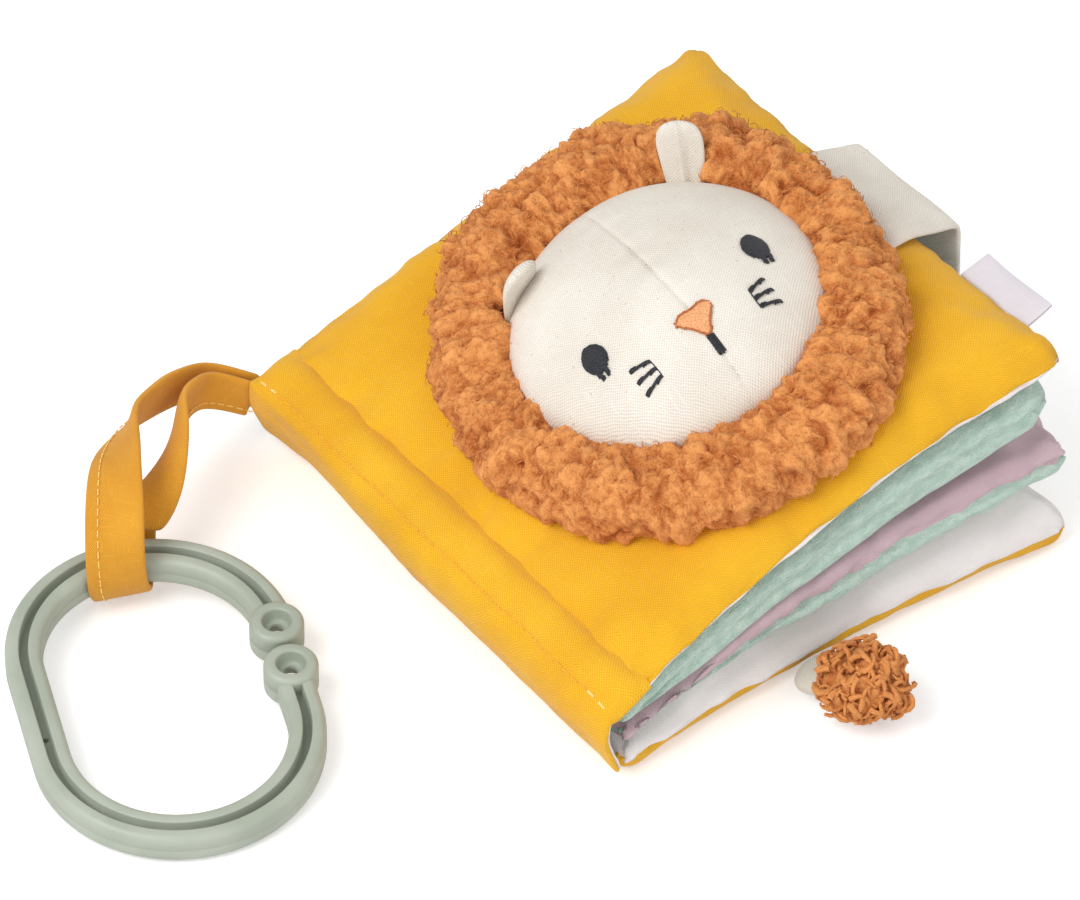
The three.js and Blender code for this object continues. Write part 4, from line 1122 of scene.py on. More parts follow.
def woolly_fleece():
    numbers = {
        "Lump": 0.0078, "Lump Rise": 0.0026, "Curl": 0.0036, "Curl Rise": 0.0016,
        "Crimp": 0.0012, "Crimp Rise": 0.0004, "Stray": 0.0016, "Spacing": 0.0015,
        "Reach": 0.0012, "Yarn": 0.00016, "Under": -0.3, "Sides": 3, "Seed": 5,
    }
    tree, given, made = rule_tree("woolly_fleece", "Backing", "Fleece", numbers)
    add = tree.nodes.new

    def vectors(operation, *values):
        node = add("ShaderNodeVectorMath")
        node.operation = operation
        for socket, value in zip(node.inputs, values):
            feed(tree, socket, value)
        return node.outputs["Vector"]

    def drift(place, size, reach):
        cloud, scaled_by = add("ShaderNodeTexNoise"), add("ShaderNodeVectorMath")
        set_inputs(cloud, Scale=1 / size, Detail=1)
        tree.links.new(place, cloud.inputs["Vector"])
        scaled_by.operation = "SCALE"
        tree.links.new(vectors("SUBTRACT", cloud.outputs["Color"], (0.5, 0.5, 0.5)), scaled_by.inputs[0])
        feed(tree, scaled_by.inputs["Scale"], reach)
        return scaled_by.outputs[0]

    def lumps(place, size, smooth):
        cells = add("ShaderNodeTexVoronoi")
        cells.feature = "SMOOTH_F1"
        cells.inputs["Smoothness"].default_value = smooth
        tree.links.new(place, cells.inputs["Vector"])
        tree.links.new(maths(tree, "DIVIDE", 1.0, size), cells.inputs["Scale"])
        far = cells.outputs["Distance"]
        dip = maths(tree, "MULTIPLY", maths(tree, "MULTIPLY", far, far), 1.7)
        return maths(tree, "SUBTRACT", 1.0, dip)

    def kept_shade_tone(domain):
        node = add("GeometryNodeStoreNamedAttribute")
        node.data_type = "FLOAT"
        node.domain = domain
        node.inputs["Name"].default_value = "tone"
        return node

    here, normal = add("GeometryNodeInputPosition").outputs[0], add("GeometryNodeInputNormal").outputs[0]
    bent = vectors("ADD", here, drift(here, FLEECE_BEND_SIZE, FLEECE_BEND))
    wrung = vectors("ADD", bent, drift(here, FLEECE_WRING_SIZE, FLEECE_WRING))
    lump, curl = lumps(bent, given.outputs["Lump"], 0.3), lumps(wrung, given.outputs["Curl"], 0.25)
    crimp = lumps(wrung, given.outputs["Crimp"], 0.3)
    height = maths(tree, "MULTIPLY", lump, given.outputs["Lump Rise"])
    height = maths(tree, "MULTIPLY_ADD", curl, given.outputs["Curl Rise"], height)
    height = maths(tree, "MULTIPLY_ADD", crimp, given.outputs["Crimp Rise"], height)
    lift = add("ShaderNodeVectorMath")
    lift.operation = "SCALE"
    wire(tree, (normal, lift.inputs[0]), (height, lift.inputs["Scale"]))
    over = vectors("ADD", lift.outputs[0], drift(here, STRAY_SIZE, given.outputs["Stray"]))
    # Painted shade: the height of the lumps, curls and crimps is stored as tone, high on their tops and low
    # in the hollows between them, so the hollows are coloured darker.
    push, keep_hollow_shade = add("GeometryNodeSetPosition"), kept_shade_tone("POINT")
    share = maths(tree, "MULTIPLY_ADD", lump, 0.2, maths(tree, "MULTIPLY", crimp, 0.35))
    share = maths(tree, "MULTIPLY_ADD", curl, 0.45, share)
    scatter, upright = add("GeometryNodeDistributePointsOnFaces"), add("ShaderNodeSeparateXYZ")
    scatter.distribute_method = "POISSON"
    scatter.inputs["Density Max"].default_value = WOOL_ENDS_MOST
    arc, taper = add("GeometryNodeCurveArc"), add("GeometryNodeSplineParameter")
    set_inputs(arc, Resolution=6, Sweep_Angle=math.radians(150))
    sweep = swept(tree, arc.outputs[0], given.outputs["Yarn"], given.outputs["Sides"])
    spin, size = add("FunctionNodeRandomValue"), add("FunctionNodeRandomValue")
    spin.data_type = "FLOAT_VECTOR"
    spin.inputs[0].default_value = (0, 0, 0)
    spin.inputs[1].default_value = (2 * math.pi, 2 * math.pi, 2 * math.pi)
    size.data_type = "FLOAT"
    size.inputs[2].default_value = 0.5
    size.inputs[3].default_value = 1.2
    stand, light = add("GeometryNodeInstanceOnPoints"), kept_shade_tone("INSTANCE")
    light.inputs["Value"].default_value = 0.6
    realize, join = add("GeometryNodeRealizeInstances"), add("GeometryNodeJoinGeometry")
    shown = maths(tree, "GREATER_THAN", upright.outputs["Z"], given.outputs["Under"])
    wire(
        tree,
        (given.outputs["Backing"], keep_hollow_shade.inputs["Geometry"]),
        (share, keep_hollow_shade.inputs["Value"]),
        (keep_hollow_shade.outputs[0], push.inputs["Geometry"]),
        (over, push.inputs["Offset"]),
        (normal, upright.inputs[0]),
        (shown, scatter.inputs["Selection"]),
        (push.outputs[0], scatter.inputs["Mesh"]),
        (given.outputs["Spacing"], scatter.inputs["Distance Min"]),
        (given.outputs["Seed"], scatter.inputs["Seed"]),
        (given.outputs["Reach"], arc.inputs["Radius"]),
        (maths(tree, "MULTIPLY_ADD", taper.outputs["Factor"], -0.55, 1.0), sweep.inputs["Scale"]),
        (scatter.outputs["Points"], stand.inputs["Points"]),
        (sweep.outputs[0], stand.inputs["Instance"]),
        (spin.outputs[0], stand.inputs["Rotation"]),
        (size.outputs[1], stand.inputs["Scale"]),
        (stand.outputs[0], light.inputs["Geometry"]),
        (light.outputs[0], realize.inputs[0]),
        (realize.outputs[0], join.inputs[0]),
        (push.outputs[0], join.inputs[0]),
    )
    return finish_rule(tree, given, made, join.outputs[0])


WOOLLY_FLEECE = woolly_fleece()


def teddy_material():
    light, dark = paint(238, 163, 95), paint(172, 90, 38)
    material, tree, shader = plain_material("teddy_fleece", light, 1.0)
    tone = tree.nodes.new("ShaderNodeAttribute")
    tone.attribute_name = "tone"
    fibres = cloudy(tree, own_place(tree), 1900, 3)
    patches = cloudy(tree, own_place(tree), 120, 2)
    share = maths(tree, "MULTIPLY_ADD", fibres, 0.5, maths(tree, "MULTIPLY_ADD", patches, 0.35, -0.1))
    # Painted shade: the stored tone darkens the hollows between lumps; the fibres and patches are the
    # fleece's own mottling.
    share = maths(tree, "MULTIPLY_ADD", tone.outputs["Fac"], 0.6, share)
    tree.links.new(
        blended(tree, between(tree, share, 0.25, 0.95), dark, light), shader.inputs["Base Color"]
    )
    set_inputs(shader, Sheen_Weight=0.15, Sheen_Roughness=0.4, Sheen_Tint=paint(255, 214, 170))
    bumped(tree, shader, fibres, 0.9, 0.0006)
    return material


TEDDY = teddy_material()


def mane_object():
    points = []
    inner = FACE_RADIUS - MANE_TUCK
    for i in range(MANE_TURNS):
        angle = 2 * math.pi * i / MANE_TURNS
        lump = MANE_LUMP * math.sin(7 * angle) * math.cos(3 * angle + 1)
        wide = MANE_ACROSS * math.cos(angle) ** 2 + MANE_ALONG * math.sin(angle) ** 2
        sway = MANE_SWAY * math.cos(angle - MANE_SWAY_BEARING)
        wide += MANE_OFFSET * math.cos(angle) + lump + sway - MANE_SINK
        tall = MANE_HEIGHT + lump + 0.6 * sway - MANE_SINK
        notch = EAR_NOTCH * sum(math.exp(-((angle - b) / EAR_NOTCH_WIDTH) ** 2) for b in EAR_BEARINGS)
        for k, (outward, up) in enumerate(MANE_SECTION):
            r = inner + wide * (1 + outward) / 2 + notch * max(-outward, 0)
            dent = MANE_CLUMP * noise.noise(Vector((math.cos(angle) * 13, math.sin(angle) * 13, k * 0.8)))
            out = r + dent
            points.append(
                on_cover(out * math.cos(angle), out * math.sin(angle), MANE_SEAT + tall * up + dent)
            )
    made = mesh_object("lion_mane_fleece", points, tube_faces(MANE_TURNS, len(MANE_SECTION), True), [TEDDY])
    face_outwards(made)
    subdivide(made, 3)
    return made


mane = mane_object()
node_piece(mane, WOOLLY_FLEECE, Finish=TEDDY)
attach(mane, "front_cover")
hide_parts("lion_mane")


# Ears: two small linen cushions, cupped towards the face, that stand where face and mane
# meet. The left one stands nearly upright and the right one leans out over the mane.
EAR_LENGTH = 0.0155
EAR_WIDTH = 0.0120
EAR_THICKNESS = 0.0048
EAR_ROOT = 0.01235
EAR_GROWN = 0.0040
EAR_INWARDS = 0.0012
EAR_CUP = 0.0016
EAR_SUNK = 0.003
EAR_SIDES = 28
EAR_PLEAT_SHARE = 0.13
EAR_OUTLINE = [
    (0, 0.76), (0.12, 0.80), (0.28, 0.87), (0.45, 0.93), (0.62, 1.0), (0.77, 0.99), (0.89, 0.87),
    (0.96, 0.62), (0.99, 0.30)
]


def ear_object(name, angle, lean, pleat, twist):
    heading = angle + HEAD_TURN
    flat = math.cos(heading)
    outward = Vector((flat * math.cos(COVER_TILT), math.sin(heading), flat * math.sin(COVER_TILT)))
    length = outward * math.sin(lean) + COVER_NORMAL * math.cos(lean)
    width = Matrix.Rotation(twist, 3, length) @ length.cross(outward).normalized()
    back = width.cross(length).normalized()
    if back.dot(outward) < 0:
        back = -back
    reach = FACE_RADIUS - EAR_INWARDS
    root = on_cover(reach * math.cos(angle), reach * math.sin(angle), EAR_ROOT - EAR_SUNK)
    grown = EAR_LENGTH + EAR_GROWN
    points, maps = [], []
    for up, wide in EAR_OUTLINE:
        for k in range(EAR_SIDES):
            turn = 2 * math.pi * k / EAR_SIDES
            across, deep = math.cos(turn), math.sin(turn)
            half = EAR_WIDTH / 2 * wide
            if deep >= 0:
                depth = EAR_THICKNESS / 2 * wide * deep
            else:
                cup = EAR_CUP * (1 - across ** 2) * math.sin(math.pi * min(up * 1.1, 1))
                fold = pleat * math.exp(-(across / EAR_PLEAT_SHARE) ** 2) * (1 - up * 0.5)
                depth = EAR_THICKNESS / 2 * wide * deep * 0.8 + cup - fold
            points.append(root + length * (grown * up) + width * (half * across) + back * depth)
            maps.append((half * across, grown * up))
    rows = len(EAR_OUTLINE)
    faces = tube_faces(rows, EAR_SIDES)
    ends = [(0, root, (0, 0)), (rows - 1, root + length * grown, (0, grown))]
    close_ends(points, maps, faces, EAR_SIDES, ends)
    made = mapped_object(name, points, maps, faces, [LINEN])
    subdivide(made)
    return made


for side, bearing, lean, pleat, twist in (
    ("left", EAR_BEARINGS[1], -16, 0.0, -26), ("right", EAR_BEARINGS[0], 26, 0.0030, 0),
):
    ear = ear_object(f"ear_{side}_cushion", bearing, math.radians(lean), pleat, math.radians(twist))
    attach(ear, "front_cover")
    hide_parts(f"ear_{side}")


# Embroidery: satin stitch in floss, each shape filled with threads laid side by side, and
# the mouth and whiskers in single thick bars of the same stitch.
def laid_threads():
    tree, given, made = rule_tree("laid_threads", "Threads", "Floss", {"Thread": 0.0003})
    to_curve = tree.nodes.new("GeometryNodeMeshToCurve")
    tree.links.new(given.outputs["Threads"], to_curve.inputs[0])
    sweep = swept(tree, to_curve.outputs[0], given.outputs["Thread"], 6)
    return finish_rule(tree, given, made, sweep.outputs[0])


LAID_THREADS = laid_threads()
FLOSS = 0.00026
FLOSS_PITCH = 0.00036
FLOSS_RISE = 0.00045
FLOSS_STEPS = 5


def chords(outline, angle):
    run = (math.cos(angle), math.sin(angle))
    side = (-run[1], run[0])
    flat = [(x * run[0] + y * run[1], x * side[0] + y * side[1]) for x, y in outline]
    low, high = min(v for _, v in flat), max(v for _, v in flat)
    count = max(int((high - low) / FLOSS_PITCH), 1)
    for k in range(count + 1):
        level = low + (high - low) * (k + 0.5) / (count + 1)
        cuts = []
        for (u0, v0), (u1, v1) in zip(flat, flat[1:] + flat[:1]):
            if (v0 - level) * (v1 - level) < 0:
                cuts.append(u0 + (u1 - u0) * (level - v0) / (v1 - v0))
        cuts.sort()
        for start, end in zip(cuts[::2], cuts[1::2]):
            yield [(u * run[0] + level * side[0], u * run[1] + level * side[1]) for u in (start, end)]


def satin_piece(name, node, shapes, finish, floss=FLOSS):
    points, edges = [], []
    for outline, angle in shapes:
        for (x0, y0), (x1, y1) in chords(outline, angle):
            for k in range(FLOSS_STEPS + 1):
                t = k / FLOSS_STEPS
                rise = FLOSS_RISE * (1 - (2 * t - 1) ** 4) + THREAD_LIFT
                points.append(on_face(x0 + (x1 - x0) * t, y0 + (y1 - y0) * t, rise))
                if k:
                    edges.append((len(points) - 2, len(points) - 1))
    made = mesh_object(name, points, [], edges=edges)
    node_piece(made, LAID_THREADS, Thread=floss, Finish=finish)
    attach(made, "front_cover")
    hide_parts(node)
    return made


CHARCOAL_FLOSS = thread_material("charcoal_thread", paint(52, 53, 60), paint(24, 25, 30), 0.5)
NOSE_FLOSS = thread_material("orange_thread", paint(240, 184, 134), paint(216, 144, 88), 0.5)
NOSE_EDGE_FLOSS = thread_material("nose_edge_thread", paint(192, 112, 60), paint(160, 88, 42), 0.5)
EYE_SPREAD, EYE_DROP = 0.592 * FACE_RADIUS, 0.208 * FACE_RADIUS
EYE_WIDTH, EYE_HEIGHT = 0.0062, 0.0082
NOSE_WIDTH, NOSE_HEIGHT, NOSE_DROP = 0.0095, 0.0075, 0.506 * FACE_RADIUS
MOUTH_LENGTH, MOUTH_WIDTH, MOUTH_GAP = 0.0047, 0.0018, 0.0002
WHISKER_LENGTH, WHISKER_WIDTH, WHISKER_PITCH = 0.0054, 0.0008, 0.0027
WHISKER_SPREAD, WHISKER_DROP = 0.43 * FACE_RADIUS, 0.534 * FACE_RADIUS
WHISKER_RISE, WHISKER_FAN = 8, 13
LASH_LENGTH, LASH_WIDTH = 0.0022, 0.0008
LASHES = [(0.10, -1.10, 96), (-0.46, -1.05, 80)]
EYE_SHAPE = [
    (0, 1), (0.42, 0.9), (0.75, 0.62), (0.97, 0.2), (0.95, -0.25), (0.7, -0.66), (0.3, -0.9),
    (-0.15, -0.96), (-0.5, -0.85), (-0.82, -0.5), (-0.98, -0.05), (-0.93, 0.35), (-0.7, 0.7),
    (-0.38, 0.93)
]
NOSE_SHAPE = [
    (-1, 0.62), (-0.82, 0.9), (-0.55, 1), (0, 0.9), (0.55, 1), (0.82, 0.9), (1, 0.62), (0.92, 0.3),
    (0.62, -0.1), (0.3, -0.62), (0.16, -1), (-0.16, -1), (-0.3, -0.62), (-0.62, -0.1), (-0.92, 0.3)
]


def scaled(shape, width, height, across, along, mirror=1):
    return [(across + mirror * x * width / 2, along + y * height / 2) for x, y in shape]


def bar(across, along, degrees, length, width):
    angle = math.radians(degrees)
    run = (math.cos(angle), math.sin(angle))
    corners = [(-1, -0.6), (-0.94, -1), (0.94, -1), (1, -0.6), (1, 0.6), (0.94, 1), (-0.94, 1), (-1, 0.6)]
    shape = []
    for s, t in corners:
        x = across + (run[0] * s * length - run[1] * t * width) / 2
        y = along + (run[1] * s * length + run[0] * t * width) / 2
        shape.append((x, y))
    return shape


for side, mirror in (("left", 1), ("right", -1)):
    across = -mirror * EYE_SPREAD
    eye = scaled(EYE_SHAPE, EYE_WIDTH, EYE_HEIGHT, across, -EYE_DROP, mirror)
    lashes = []
    for reach_x, reach_y, degrees in LASHES:
        spot = (across + mirror * reach_x * EYE_WIDTH / 2, -EYE_DROP + reach_y * EYE_HEIGHT / 2)
        lash = bar(*spot, 90 - mirror * (degrees - 90), LASH_LENGTH, LASH_WIDTH)
        lashes.append((lash, math.radians(90)))
    shapes = [(eye, math.radians(20 * mirror))] + lashes
    satin_piece(f"eye_{side}_stitches", f"eye_{side}", shapes, CHARCOAL_FLOSS)
    joins = []
    for i in range(3):
        along = -WHISKER_DROP - (i - 1) * WHISKER_PITCH
        rise = WHISKER_RISE - (i - 1) * WHISKER_FAN
        lean = 90 + mirror * (90 - rise)
        shape = bar(-mirror * WHISKER_SPREAD, along, lean, WHISKER_LENGTH, WHISKER_WIDTH)
        whisker = f"whisker_{side}_{i + 1}"
        satin_piece(f"{whisker}_stitches", whisker, [(shape, math.radians(lean + 5))], CHARCOAL_FLOSS)
        inner = WHISKER_LENGTH / 2 * math.cos(math.radians(rise))
        drop = WHISKER_LENGTH / 2 * math.sin(math.radians(rise))
        joins.append(on_face(-mirror * (WHISKER_SPREAD - inner), along - drop, 2 * THREAD_LIFT))
    stitched_line(
        f"whisker_{side}_join", smooth_route(joins, 4), "front_cover", CHARCOAL_FLOSS,
        pitch=0.0007, length=0.0008, thread=0.00018,
    )

nose = scaled(NOSE_SHAPE, NOSE_WIDTH, NOSE_HEIGHT, 0, -NOSE_DROP)
satin_piece("nose_stitches", "nose", [(nose, math.radians(90))], NOSE_FLOSS)
nose_rim = [on_face(x, y, FLOSS_RISE) for x, y in nose + nose[:1]]
stitched_line(
    "nose_rim_stitches", nose_rim, "front_cover", NOSE_EDGE_FLOSS, pitch=0.0016,
    length=0.0017, thread=0.00030
)
mouth_middle = NOSE_DROP + NOSE_HEIGHT / 2 + MOUTH_GAP + MOUTH_LENGTH / 2
mouth = bar(0, -mouth_middle, 90, MOUTH_LENGTH, MOUTH_WIDTH)
satin_piece("mouth_stitches", "mouth", [(mouth, math.radians(25))], CHARCOAL_FLOSS)


# Closure strap: a folded length of the same linen, sewn to the cover beside the mane. It
# bows out over the fore-edge, bends and hangs down past the pages.
STRAP_WIDTH = 0.038
STRAP_THICKNESS = 0.0014
STRAP_BELOW_MIDDLE = 0.002
STRAP_LAPS = (0.0165, 0.0115, 0.0070, 0.0036)
STRAP_STAND_SHARE = 0.75
STRAP_REACH = 0.0085
STRAP_RISE = 0.004
STRAP_DROP = 0.008
FLAP_LENGTH = 0.048
FLAP_INSWING = 0.0006
FLAP_START = 0.0007
FLAP_STEPS = 7
STRAP_SEWN = 0.012
STRAP_EASE = 0.01
STRAP_FAR_SHARE = 0.55
STRAP_BOW = [(0.2, 1.0), (0.72, 0.72), (0.96, 0.2)]
STRAP_COLUMNS = 14
STRAP_WAVE = 0.0008
FORE_EDGE_SEAM = seam_height(FRONT, FRONT["far"])
STRAP_HINGE_Z = FORE_EDGE_SEAM - STRAP_DROP
STRAP_LOW = -STRAP_BELOW_MIDDLE - STRAP_WIDTH / 2
STRAP_OUT = FRONT["far"] + STRAP_REACH


def strap_edge(y, far_side):
    spots = []
    for lap in STRAP_LAPS:
        x = FRONT["far"] - lap
        top = cushion_point(FRONT, 1, x, 0).z + STRAP_THICKNESS * STRAP_STAND_SHARE
        spots.append((x, top))
    for out, up in STRAP_BOW:
        reach = STRAP_REACH * out
        if far_side:
            reach *= STRAP_FAR_SHARE + (1 - STRAP_FAR_SHARE) * out ** 2
        spots.append((FRONT["far"] + reach, FORE_EDGE_SEAM + STRAP_RISE * up))
    spots.append((STRAP_OUT, STRAP_HINGE_Z))
    for k in range(1, FLAP_STEPS + 1):
        share = k / FLAP_STEPS
        z = STRAP_HINGE_Z - FLAP_START - FLAP_LENGTH * share
        spots.append((STRAP_OUT - FLAP_INSWING * share ** 2, z))
    return smooth_route([(SPINE_X + x, y, z) for x, z in spots], 6)


def strap_rows():
    near = strap_edge(STRAP_LOW, False)
    far = strap_edge(STRAP_LOW + STRAP_WIDTH, True)
    rows, maps = [], []
    for a, b, run in zip(near, far, run_lengths(near)):
        row = []
        for k in range(STRAP_COLUMNS + 1):
            share = k / STRAP_COLUMNS
            spot = a.lerp(b, share)
            free = share_of((run - STRAP_SEWN) / STRAP_EASE)
            wave = STRAP_WAVE * noise.noise(Vector((share * 2.2, run * 55, 4)))
            spot += Vector((wave, 0, wave * 0.4)) * free
            row.append(spot)
        rows.append(row)
        maps.append([(STRAP_WIDTH * k / STRAP_COLUMNS, run) for k in range(STRAP_COLUMNS + 1)])
    return rows, maps, run


strap_points, strap_maps, strap_length = strap_rows()
strap = band_object("closure_strap_band", strap_points, STRAP_THICKNESS, LINEN, strap_maps)
subdivide(strap)
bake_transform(strap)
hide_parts("closure_strap", "closure_strap_flap")

for side, share in (("tail", 0.055), ("head", 0.945)):
    line = []
    for row in strap_points[len(strap_points) // 2 - 6:]:
        spot = row[0].lerp(row[-1], share)
        line.append(spot + Vector((STRAP_THICKNESS / 2, 0, 0)))
    stitched_line(
        f"strap_hem_{side}", line, "strap_flap", LINEN_THREAD, pitch=0.0028, length=0.0019,
        thread=0.00014
    )


# Hook patch: a block of hook tape sewn inside the strap's free end
HOOK_LENGTH = 0.016
HOOK_WIDTH = 0.028
HOOK_TAPE = 0.0007
HOOK_ROWS = 12
HOOK_COLUMNS = 21
HOOK_MARGIN = 0.0015
HOOK_LIFT = 0.0003
TAPE_GAP = 0.0002
TAPE_STEPS_DOWN, TAPE_STEPS_ACROSS = 8, 14


def hook_tape_material():
    material, tree, shader = plain_material("hook_tape", paint(233, 229, 220), 0.7)
    ribs = cloudy(tree, stretched(tree, own_place(tree), (1, 3, 0.4)), 1400, 2)
    tree.links.new(
        blended(tree, ribs, paint(214, 208, 196), paint(240, 237, 230)), shader.inputs["Base Color"]
    )
    bumped(tree, shader, ribs, 0.5, 0.0003)
    return material


def hook_field():
    numbers = {"Hook": 0.00045, "Wire": 0.00011}
    tree, given, made = rule_tree("hook_field", "Tape", "Hooks", numbers)
    add = tree.nodes.new
    points, arc = add("GeometryNodeMeshToPoints"), add("GeometryNodeCurveArc")
    set_inputs(arc, Resolution=6, Sweep_Angle=math.radians(250))
    sweep = swept(tree, arc.outputs[0], given.outputs["Wire"], 3, False)
    stand, turn = add("GeometryNodeInstanceOnPoints"), add("FunctionNodeRandomValue")
    turn.data_type = "FLOAT_VECTOR"
    turn.inputs[0].default_value = (math.radians(80), 0, math.radians(80))
    turn.inputs[1].default_value = (math.radians(100), 0, math.radians(100))
    wire(
        tree,
        (given.outputs["Tape"], points.inputs[0]),
        (given.outputs["Hook"], arc.inputs["Radius"]),
        (points.outputs[0], stand.inputs["Points"]),
        (sweep.outputs[0], stand.inputs["Instance"]),
        (turn.outputs[0], stand.inputs["Rotation"]),
    )
    return finish_rule(tree, given, made, stand.outputs[0])


HOOKS_FINISH = hook_tape_material()
hook_top = STRAP_HINGE_Z - FLAP_LENGTH + STRAP_THICKNESS + HOOK_LENGTH
hook_x = SPINE_X + STRAP_OUT - FLAP_INSWING - (STRAP_THICKNESS + HOOK_TAPE) / 2 - TAPE_GAP
hook_middle = STRAP_LOW + STRAP_WIDTH / 2
tape_rows, tape_maps = [], []
for i in range(TAPE_STEPS_DOWN + 1):
    z = hook_top - HOOK_LENGTH * i / TAPE_STEPS_DOWN
    steps = range(TAPE_STEPS_ACROSS + 1)
    ys = [hook_middle + HOOK_WIDTH * (k / TAPE_STEPS_ACROSS - 0.5) for k in steps]
    tape_rows.append([Vector((hook_x, y, z)) for y in ys])
    tape_maps.append([(y, z) for y in ys])
tape = band_object("hook_tape", tape_rows, HOOK_TAPE, HOOKS_FINISH, tape_maps)
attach(tape, "strap_flap")
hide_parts("strap_hook_patch")
spots = []
for i in range(HOOK_ROWS):
    for k in range(HOOK_COLUMNS):
        y = hook_middle + (HOOK_WIDTH - 2 * HOOK_MARGIN) * (k / (HOOK_COLUMNS - 1) - 0.5)
        z = hook_top - HOOK_MARGIN - (HOOK_LENGTH - 2 * HOOK_MARGIN) * i / (HOOK_ROWS - 1)
        spots.append((hook_x - HOOK_TAPE / 2 - HOOK_LIFT, y, z))
hooks = mesh_object("tape_hooks", spots, [])
node_piece(hooks, hook_field(), Finish=HOOKS_FINISH)
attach(hooks, "strap_flap")


# Label: a short folded loop of plain satin ribbon, caught in the fore-edge seam
LABEL_WIDTH = 0.024
LABEL_LENGTH = 0.0075
LABEL_DEPTH = 0.0008
RIBBON = 0.00022
LABEL_BELOW_MIDDLE = 0.0455
LABEL_COLUMNS = 16
LABEL_TUCK = 0.0012
LABEL_DROP = 0.0004
LABEL_FOLD = 0.0012
LABEL_CURL = 0.0005


def satin_material():
    light, dark = paint(226, 221, 227), paint(206, 200, 208)
    material, tree, shader = plain_material("label_satin", light, 0.42)
    place = mapped(tree)
    threads = cloudy(tree, stretched(tree, place, (0.15, 3.0, 1)), 1500, 2)
    tree.links.new(blended(tree, threads, dark, light), shader.inputs["Base Color"])
    set_inputs(shader, Sheen_Weight=0.25, Specular_IOR_Level=0.45)
    bumped(tree, shader, threads, 0.35, 0.00015)
    return material


def label_rows():
    out_way = Vector((math.cos(COVER_TILT), 0, math.sin(COVER_TILT)))
    seat = Vector((SPINE_X + FRONT["far"] - LABEL_TUCK, 0, FORE_EDGE_SEAM - LABEL_DROP))
    half = (LABEL_DEPTH - RIBBON) / 2
    path = [(s * LABEL_LENGTH, half) for s in (0, 0.2, 0.45, 0.7, 0.9)]
    for angle in (0.3, 0.9, 1.57, 2.24, 2.84):
        path.append((LABEL_LENGTH + LABEL_FOLD + half * math.sin(angle), half * math.cos(angle)))
    path += [(out, -up) for out, up in path[4::-1]]
    rows, maps, run = [], [], 0.0
    for i, (out, up) in enumerate(path):
        run += math.hypot(out - path[i - 1][0], up - path[i - 1][1]) if i else 0
        row = []
        for k in range(LABEL_COLUMNS + 1):
            y = -LABEL_BELOW_MIDDLE + LABEL_WIDTH * (k / LABEL_COLUMNS - 0.5)
            curl = LABEL_CURL * math.sin(y * 190) * (out / LABEL_LENGTH) ** 2
            row.append(seat + out_way * out + COVER_NORMAL * (up + curl) + Vector((0, y, 0)))
        rows.append(row)
        maps.append([(LABEL_WIDTH * k / LABEL_COLUMNS, run) for k in range(LABEL_COLUMNS + 1)])
    return rows, maps, run


SATIN = satin_material()
label_points, label_maps, label_run = label_rows()
tag = band_object("satin_label", label_points, RIBBON, SATIN, label_maps)
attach(tag, "front_cover")
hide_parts("woven_label")


# Tail: a stuffed tube of linen from the tail edge of the back cover, with a pompom of
# thick fleece yarn on its end.
TAIL_PIVOT = Vector((-0.0102, -0.07648, 0.0050))
TUFT_MIDDLE = Vector((-0.008, -0.0888, 0.0108))
TUFT_SQUASH = Vector((1.12, 0.98, 0.66))
TAIL_WIDTH = 0.0155
TAIL_DEPTH = 0.0076
TUFT_CORE = 0.0074
TUFT_BUMP_SHARE = 0.12
TAIL_SIDES = 28
TAIL_FOLD_SHARE = 0.05
TAIL_PROFILE = [
    (-0.0066, 0.15), (-0.0060, 0.5), (-0.0048, 0.78), (-0.0025, 0.95), (0, 1.0), (0.0025, 1.02),
    (0.005, 1.0), (0.0075, 0.9), (0.0095, 0.6)
]


def tail_object():
    run = (TUFT_MIDDLE - TAIL_PIVOT).normalized()
    side = Vector((0, 0, 1)).cross(run).normalized()
    up = run.cross(side).normalized()
    points, maps = [], []
    for along, size in TAIL_PROFILE:
        for k in range(TAIL_SIDES):
            angle = 2 * math.pi * k / TAIL_SIDES
            spot = Vector((math.cos(angle) * 2, math.sin(angle) * 2, along * 300))
            fold = 1 + TAIL_FOLD_SHARE * noise.noise(spot)
            wide = TAIL_WIDTH / 2 * size * fold * math.cos(angle)
            high = TAIL_DEPTH / 2 * size * fold * math.sin(angle)
            points.append(TAIL_PIVOT + run * along + side * wide + up * high)
            maps.append((angle * TAIL_WIDTH / 2, along))
    faces = tube_faces(len(TAIL_PROFILE), TAIL_SIDES)
    ends = [(row, TAIL_PROFILE[row][0]) for row in (0, len(TAIL_PROFILE) - 1)]
    ends = [(row, TAIL_PIVOT + run * at, (0, at)) for row, at in ends]
    close_ends(points, maps, faces, TAIL_SIDES, ends)
    made = mapped_object("tail_tube_cushion", points, maps, faces, [LINEN])
    subdivide(made)
    return made


tail = tail_object()
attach(tail, "tail")
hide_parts("tail_tube")

core = bmesh.new()
bmesh.ops.create_icosphere(core, subdivisions=4, radius=TUFT_CORE)
core_mesh = bpy.data.meshes.new("tail_pompom")
for vertex in core.verts:
    vertex.co = TUFT_MIDDLE + vertex.co * TUFT_SQUASH * (1 + TUFT_BUMP_SHARE * noise.noise(vertex.co * 180))
core.to_mesh(core_mesh)
core.free()
core_mesh.shade_smooth()
pompom = placed("tail_pompom", core_mesh)
subdivide(pompom)
tuft_values = {
    "Lump": 0.0062, "Lump Rise": 0.0020, "Curl": 0.0030, "Curl Rise": 0.0012, "Under": -1.1,
    "Reach": 0.0025, "Yarn": 0.00085, "Spacing": 0.0011, "Sides": 5,
}
node_piece(pompom, WOOLLY_FLEECE, Finish=TEDDY, Seed=11, **tuft_values)
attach(pompom, "tail")
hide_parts("tail_tuft")


